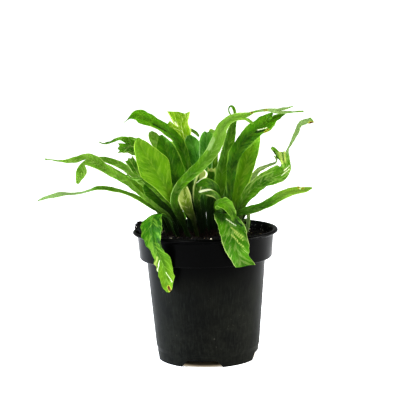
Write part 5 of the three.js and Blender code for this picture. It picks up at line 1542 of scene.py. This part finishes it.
def scattered(tree, geometry, density, seed, instance, smallest, largest, flat):
    """Copies of an instance on the faces marked top, turned and sized at random, each with a random grain
    that its finish reads."""
    top = put(tree, "GeometryNodeInputNamedAttribute", {"Name": "top"}, data_type="FLOAT")["Attribute"]
    points = put(tree, "GeometryNodeDistributePointsOnFaces", {
        "Mesh": geometry, "Selection": put(tree, "ShaderNodeMath", (top, 0.5), operation="GREATER_THAN")[0],
        "Density": density, "Seed": seed}, distribute_method="RANDOM")
    lean = 0.35 if flat else math.pi
    seeds = [put(tree, "ShaderNodeMath", (seed, offset), operation="ADD")[0] for offset in (1.0, 2.0, 3.0)]
    turn = put(tree, "FunctionNodeRandomValue", {
        0: (-lean, -lean, -math.pi), 1: (lean, lean, math.pi), "Seed": seeds[0],
    }, data_type="FLOAT_VECTOR")[0]
    share = put(tree, "FunctionNodeRandomValue", {2: 0.0, 3: 1.0, "Seed": seeds[1]}, data_type="FLOAT")[1]
    grain = put(tree, "FunctionNodeRandomValue", {2: 0.05, 3: 1.0, "Seed": seeds[2]}, data_type="FLOAT")[1]
    # Few are near the largest size.
    share = put(tree, "ShaderNodeMath", (share, 2.6), operation="POWER")[0]
    size = put(tree, "ShaderNodeMapRange", (share, 0.0, 1.0, smallest, largest))[0]
    placed = put(tree, "GeometryNodeInstanceOnPoints", {
        "Points": points["Points"], "Instance": instance,
        "Rotation": put(tree, "FunctionNodeEulerToRotation", (turn,))[0], "Scale": size})[0]
    return put(tree, "GeometryNodeStoreNamedAttribute", {
        "Geometry": placed, "Name": "grain", "Value": grain}, data_type="FLOAT", domain="INSTANCE")[0]


def lumpy(tree, geometry, scale, seed):
    """Pushes a unit shape's points about, so that no two kinds of crumb are alike."""
    position = put(tree, "GeometryNodeInputPosition")[0]
    shift = put(tree, "ShaderNodeTexNoise", {
        "Vector": position, "W": seed, "Scale": 1.1, "Detail": 1.0}, noise_dimensions="4D")["Color"]
    offset = put(tree, "ShaderNodeVectorMath", (
        shift, (1.5, 1.5, 1.5), (-0.75, -0.75, -0.75)), operation="MULTIPLY_ADD")[0]
    moved = put(tree, "GeometryNodeSetPosition", {"Geometry": geometry, "Offset": offset})[0]
    return put(tree, "GeometryNodeTransform", {"Geometry": moved, "Scale": scale})[0]


def loose_mix_tree():
    """Peat crumbs, bark chips and coir strands strewn over the bed."""
    tree = bpy.data.node_groups.new("loose mix", "GeometryNodeTree")
    source = tree_inputs(tree, [
        "Crumb Density", "Chip Density", "Strand Density", "Smallest Crumb", "Largest Crumb",
        "Shortest Chip", "Longest Chip", "Shortest Strand", "Longest Strand", "Seed"])
    bed = source["Geometry"]
    ball = put(tree, "GeometryNodeMeshIcoSphere", {"Radius": 1.0, "Subdivisions": 1})[0]
    block = put(tree, "GeometryNodeMeshCube", {
        "Size": (2, 2, 2), "Vertices X": 3, "Vertices Y": 2, "Vertices Z": 2})[0]
    arc = put(tree, "GeometryNodeCurveQuadraticBezier", {
        "Resolution": 6, "Start": (-0.5, 0, 0), "Middle": (0, 0.3, 0.25), "End": (0.5, 0, 0)})[0]
    ring = put(tree, "GeometryNodeCurvePrimitiveCircle", {"Resolution": 4, "Radius": 0.014})[0]
    strand = put(tree, "GeometryNodeCurveToMesh", {
        "Curve": arc, "Profile Curve": ring, "Fill Caps": True})[0]
    joined = tree.nodes.new("GeometryNodeJoinGeometry")
    tree.links.new(bed, joined.inputs[0])
    crumb = lumpy(tree, ball, (1, 0.8, 0.7), 1.0)
    chip = lumpy(tree, block, (0.5, 0.26, 0.12), 4.0)
    for shape, density, least, most, offset, flat in (
            (crumb, "Crumb Density", "Smallest Crumb", "Largest Crumb", 0.0, False),
            (chip, "Chip Density", "Shortest Chip", "Longest Chip", 20.0, True),
            (strand, "Strand Density", "Shortest Strand", "Longest Strand", 40.0, True)):
        seed = put(tree, "ShaderNodeMath", (source["Seed"], offset), operation="ADD")[0]
        strewn = scattered(tree, bed, source[density], seed, shape, source[least], source[most], flat)
        tree.links.new(strewn, joined.inputs[0])
    close_tree(tree, joined.outputs[0], source)
    return tree


def moist_mix():
    """Moist black peat with bark: almost black and rough, with browner crumbs and a few light chips."""
    made, tree = new_finish("moist_peat_and_bark")
    place = put(tree, "ShaderNodeTexCoord")["Object"]
    grain = put(tree, "ShaderNodeAttribute", attribute_name="grain")["Fac"]
    # Lumps about 3 mm across.
    lumps = put(tree, "ShaderNodeTexNoise", {"Vector": place, "Scale": 300.0, "Detail": 4.0})["Fac"]
    color = coated(tree, "#050302", [
        (lumps, 0.35, 0.7, 1.0, "#0D0A07"),
        (grain, 0.6, 0.85, 0.7, "#1C1611"),
        (grain, 0.88, 0.95, 0.8, "#5E5140"),
        (grain, 0.965, 0.97, 1.0, "#C4BBA6"),
    ])
    # Fibres and grains about 0.6 mm across.
    fine = put(tree, "ShaderNodeTexNoise", {
        "Vector": place, "Scale": 1600.0, "Detail": 4.0, "Roughness": 0.7})["Fac"]
    rough = put(tree, "ShaderNodeMapRange", (fine, 0.3, 0.7, 0.62, 0.95))[0]
    normal = put(tree, "ShaderNodeBump", {"Height": fine, "Strength": 0.8, "Distance": 0.0006})[0]
    close_finish(tree, color, rough, normal, **{"IOR": 1.4, "Specular IOR Level": 0.2})
    return made


def rhizome_body():
    """The creeping stem: knobbly lumps grown into one."""
    mesh = bpy.data.meshes.new("rhizome_stem")
    work = bmesh.new()
    for (x, y), size in RHIZOME_LUMPS:
        place = Matrix.Translation((x, y, RHIZOME_Z)) @ Matrix.Diagonal((*size, 1))
        bmesh.ops.create_icosphere(work, subdivisions=4, radius=1.0, matrix=place)
    for vert in work.verts:
        bump = 1.1 * noise.noise(vert.co / 4.5) + 0.5 * noise.noise(vert.co / 1.7)
        vert.co += vert.normal * bump
        vert.co = Vector(in_place([vert.co])[0])
    work.to_mesh(mesh)
    work.free()
    stem = show(mesh, "rhizome_stem")
    fused = stem.modifiers.new("fuse", "REMESH")
    fused.mode = "VOXEL"
    fused.voxel_size = 0.0009
    made = finished(stem)
    heights = np.array([v.co.z for v in made.vertices]) / MM
    give(made, "top", "FLOAT", (heights > RHIZOME_Z + 1).astype(float))
    return stem


def scale_coat_tree():
    """The papery scales that cover a creeping stem, each a narrow pointed tongue that stands off it."""
    tree = bpy.data.node_groups.new("scale coat", "GeometryNodeTree")
    source = tree_inputs(tree, ["Scale Density", "Scale Length", "Seed"])
    tongue = put(tree, "GeometryNodeMeshCone", {
        "Vertices": 5, "Side Segments": 2, "Radius Top": 0.02, "Radius Bottom": 0.17, "Depth": 1.0})[0]
    tongue = put(tree, "GeometryNodeTransform", {"Geometry": tongue, "Scale": (1, 0.35, 1)})[0]
    top = put(tree, "GeometryNodeInputNamedAttribute", {"Name": "top"}, data_type="FLOAT")["Attribute"]
    bare = put(tree, "ShaderNodeMath", (top, 0.5), operation="GREATER_THAN")[0]
    points = put(tree, "GeometryNodeDistributePointsOnFaces", {
        "Mesh": source["Geometry"], "Selection": bare, "Density": source["Scale Density"],
        "Seed": source["Seed"]}, distribute_method="RANDOM")
    stray = put(tree, "FunctionNodeRandomValue", {
        0: (-0.7, -0.7, -0.2), 1: (0.7, 0.7, 0.9), "Seed": source["Seed"]}, data_type="FLOAT_VECTOR")[0]
    way = put(tree, "ShaderNodeVectorMath", (points["Normal"], stray), operation="ADD")[0]
    placed = put(tree, "GeometryNodeInstanceOnPoints", {
        "Points": points["Points"], "Instance": tongue, "Scale": source["Scale Length"],
        "Rotation": put(tree, "FunctionNodeAlignRotationToVector", {"Vector": way}, axis="Z")[0]})[0]
    joined = tree.nodes.new("GeometryNodeJoinGeometry")
    for geometry in (placed, source["Geometry"]):
        tree.links.new(geometry, joined.inputs[0])
    close_tree(tree, joined.outputs[0], source)
    return tree


def scaly_rhizome():
    """Brown, hairy rhizome, matt and mottled."""
    made, tree = new_finish("scaly_rhizome")
    place = put(tree, "ShaderNodeTexCoord")["Object"]
    # Mottle about 3 mm across, and hairs about 0.6 mm apart.
    mottle = put(tree, "ShaderNodeTexNoise", {"Vector": place, "Scale": 350.0, "Detail": 4.0})["Fac"]
    fine = put(tree, "ShaderNodeTexNoise", {"Vector": place, "Scale": 1800.0, "Detail": 3.0})["Fac"]
    color = coated(tree, "#0E0805", [(mottle, 0.35, 0.7, 1.0, "#2A1A10")])
    rough = put(tree, "ShaderNodeMapRange", (fine, 0.3, 0.7, 0.7, 0.95))[0]
    normal = put(tree, "ShaderNodeBump", {"Height": fine, "Strength": 0.6, "Distance": 0.0004})[0]
    close_finish(tree, color, rough, normal, **{"IOR": 1.45, "Specular IOR Level": 0.2})
    return made


# ---- Studio ----
# The tilt and roll in degrees, the focal length and the photograph's width in pixels, and the sensor's
# width in mm.
CAMERA = {"pitch": 7.8, "roll": -1.3, "focal px": 1120.0, "photo px": 416, "sensor": 36.0}
WORLD_LIGHT = 0.42  # strength of the light from the room
FLOOR_GLOW = 0.72  # strength of the floor's own light, away from the pot
FLOOR_HALF = 6.0  # half the floor's side, in metres
# Each lamp's name, its place, what it points at, its size in metres, its watts and its tint.
LAMPS = [
    ("key", (-0.6, -0.6, 1.3), (0.0, -0.02, 0.14), 0.5, 18.0, "#FFFFFF"),
    ("fill", (1.1, 0.2, 0.7), (0.0, 0.0, 0.12), 0.7, 3.0, "#FFFFFF"),
    ("left sheen", (-0.9, -0.05, 0.25), (0.025, -0.035, 0.07), 0.35, 20.0, "#CFDCF2"),
    ("right sheen", (0.95, -0.1, 0.25), (0.025, -0.035, 0.06), 0.35, 14.0, "#F4F6F2"),
]


def studio():
    """The white room and floor, with a key lamp, a weak fill and a sheen along each side of the pot."""
    world = bpy.data.worlds.new("white studio")
    bpy.context.scene.world = world
    world.use_nodes = True
    sky = world.node_tree
    sky.nodes.clear()
    # The wall behind is lit to plain white, while the room lights the plant more softly than that.
    room = put(sky, "ShaderNodeBackground", {"Color": (1, 1, 1, 1), "Strength": WORLD_LIGHT})[0]
    wall = put(sky, "ShaderNodeBackground", {"Color": (1, 1, 1, 1), "Strength": 1.0})[0]
    seen_by_eye = put(sky, "ShaderNodeLightPath")["Is Camera Ray"]
    both = put(sky, "ShaderNodeMixShader", (seen_by_eye, room, wall))[0]
    put(sky, "ShaderNodeOutputWorld", {"Surface": both})
    for name, place, aim, size, watts, tint in LAMPS:
        light = bpy.data.lights.new(name, "AREA")
        light.shape = "DISK"
        light.size = size
        light.energy = watts
        light.color = linear(tint)[:3]
        lamp = bpy.data.objects.new(name, light)
        bpy.context.scene.collection.objects.link(lamp)
        lamp.location = place
        lamp.rotation_euler = (Vector(aim) - Vector(place)).to_track_quat("-Z", "Y").to_euler()
    corners = [(x * FLOOR_HALF, y * FLOOR_HALF, 0) for x, y in ((-1, -1), (1, -1), (1, 1), (-1, 1))]
    mesh = plain_mesh("white_floor", corners, [(0, 1, 2, 3)])
    floor = show(mesh, "white_floor")
    finish, tree = new_finish("white_floor_paint")
    place = put(tree, "ShaderNodeTexCoord")["Object"]
    cloud = put(tree, "ShaderNodeTexNoise", {"Vector": place, "Scale": 12.0})["Fac"]
    # The floor glows like a lit table, but not under the pot, where its own shadow lies; there the floor is
    # painted warm, as painted bounce light.
    middle = (POT_AXIS[0] * MM, POT_AXIS[1] * MM, 0)
    away = put(tree, "ShaderNodeVectorMath", (place, middle), operation="DISTANCE")[1]
    color = coated(tree, "#FFFFFF", [
        (cloud, 0.0, 1.0, 1.0, "#F7F7F7"),
        (away, (FOOT_RADIUS - 0.5) * MM, (FOOT_RADIUS - 7) * MM, 1.0, "#FBE9C8"),
    ])
    glow = put(tree, "ShaderNodeMapRange", (
        away, (FOOT_RADIUS - 12) * MM, (FOOT_RADIUS + 3) * MM, 0.0, FLOOR_GLOW), **SOFT)[0]
    shader = put(tree, "ShaderNodeBsdfPrincipled", {
        "Base Color": color, "Roughness": 0.9, "Specular IOR Level": 0.0, "Emission Color": color,
        "Emission Strength": glow})[0]
    put(tree, "ShaderNodeOutputMaterial", {"Surface": shader})
    mesh.materials.append(finish)


def photo_camera():
    """The photograph's view: 0.92 m off, a little above the plant, tilted down and slightly askew."""
    pitch, roll = math.radians(CAMERA["pitch"]), math.radians(CAMERA["roll"])
    forward = Vector((0, math.cos(pitch), -math.sin(pitch)))
    level, upright = Vector((1, 0, 0)), Vector((0, math.sin(pitch), math.cos(pitch)))
    right = level * math.cos(roll) + upright * math.sin(roll)
    up = upright * math.cos(roll) - level * math.sin(roll)
    data = bpy.data.cameras.new("camera")
    data.sensor_width = CAMERA["sensor"]
    data.sensor_fit = "HORIZONTAL"
    data.lens = CAMERA["focal px"] / CAMERA["photo px"] * CAMERA["sensor"]
    data.clip_start = 0.05
    data.clip_end = 30
    camera = bpy.data.objects.new("camera", data)
    bpy.context.scene.collection.objects.link(camera)
    place = Vector((EYE["across"] + POT_AXIS[0], -EYE["distance"] + POT_AXIS[1], EYE["up"])) * MM
    camera.matrix_world = Matrix.Translation(place) @ Matrix((right, up, -forward)).transposed().to_4x4()
    bpy.context.scene.camera = camera


def settle(piece, node, finish=None):
    """Stands a finished piece in for its CAD node, in its finish where it doesn't wear one yet."""
    if finish:
        piece.data.materials.clear()
        piece.data.materials.append(finish)
    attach(piece, "root")
    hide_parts(node)


# ---- Making ----
photo_camera()
studio()
bpy.context.scene.view_settings.view_transform = "Standard"
bpy.context.scene.view_settings.look = "Medium High Contrast"

relief = blade_relief_tree()
finishes = {name: blade_finish(name, **values) for name, values in BLADE_FINISHES.items()}
fronds = dict(FRONDS)
fronds.update({f"back_arch_{i + 1}": arched_frond(spec, i) for i, spec in enumerate(BACK)})
for seed, (name, frond) in enumerate(fronds.items()):
    finish = finishes[FINISH_OF.get(name, PLAIN_FINISHES[seed % len(PLAIN_FINISHES)])]
    piece = show(blade_mesh(name, frond, seed), "blade_" + name)
    ruffle = RUFFLED.get(name, 1.0)
    worked(piece, relief, Ripple_Height=RIPPLE["height"] * ruffle, Ripple_Length=RIPPLE["length"],
           Crinkle=CRINKLE * ruffle, Vein_Spacing=VEIN_SPACING, Vein_Height=VEIN_HEIGHT, Seed=float(seed),
           Finish=finish)
    for key in ("facing", "outward", "calm"):
        piece.data.attributes.remove(piece.data.attributes[key])
    soften(piece.data, 48)
    settle(piece, "frond_" + name)

pot = nursery_pot()
settle(pot, "pot", moulded_polypropylene())

# Densities are in copies for each square metre, and sizes in metres.
bed = worked(soil_body(), loose_mix_tree(), Seed=3.0, Finish=moist_mix(),
             Crumb_Density=260000.0, Smallest_Crumb=0.0004, Largest_Crumb=0.0022,
             Chip_Density=60000.0, Shortest_Chip=0.0019, Longest_Chip=0.0055,
             Strand_Density=26000.0, Shortest_Strand=0.0044, Longest_Strand=0.011)
soften(bed.data, 40)
settle(bed, "potting_mix")

stem = worked(rhizome_body(), scale_coat_tree(), Scale_Density=500000.0, Scale_Length=0.0032, Seed=5.0,
              Finish=scaly_rhizome())
soften(stem.data, 50)
settle(stem, "rhizome")
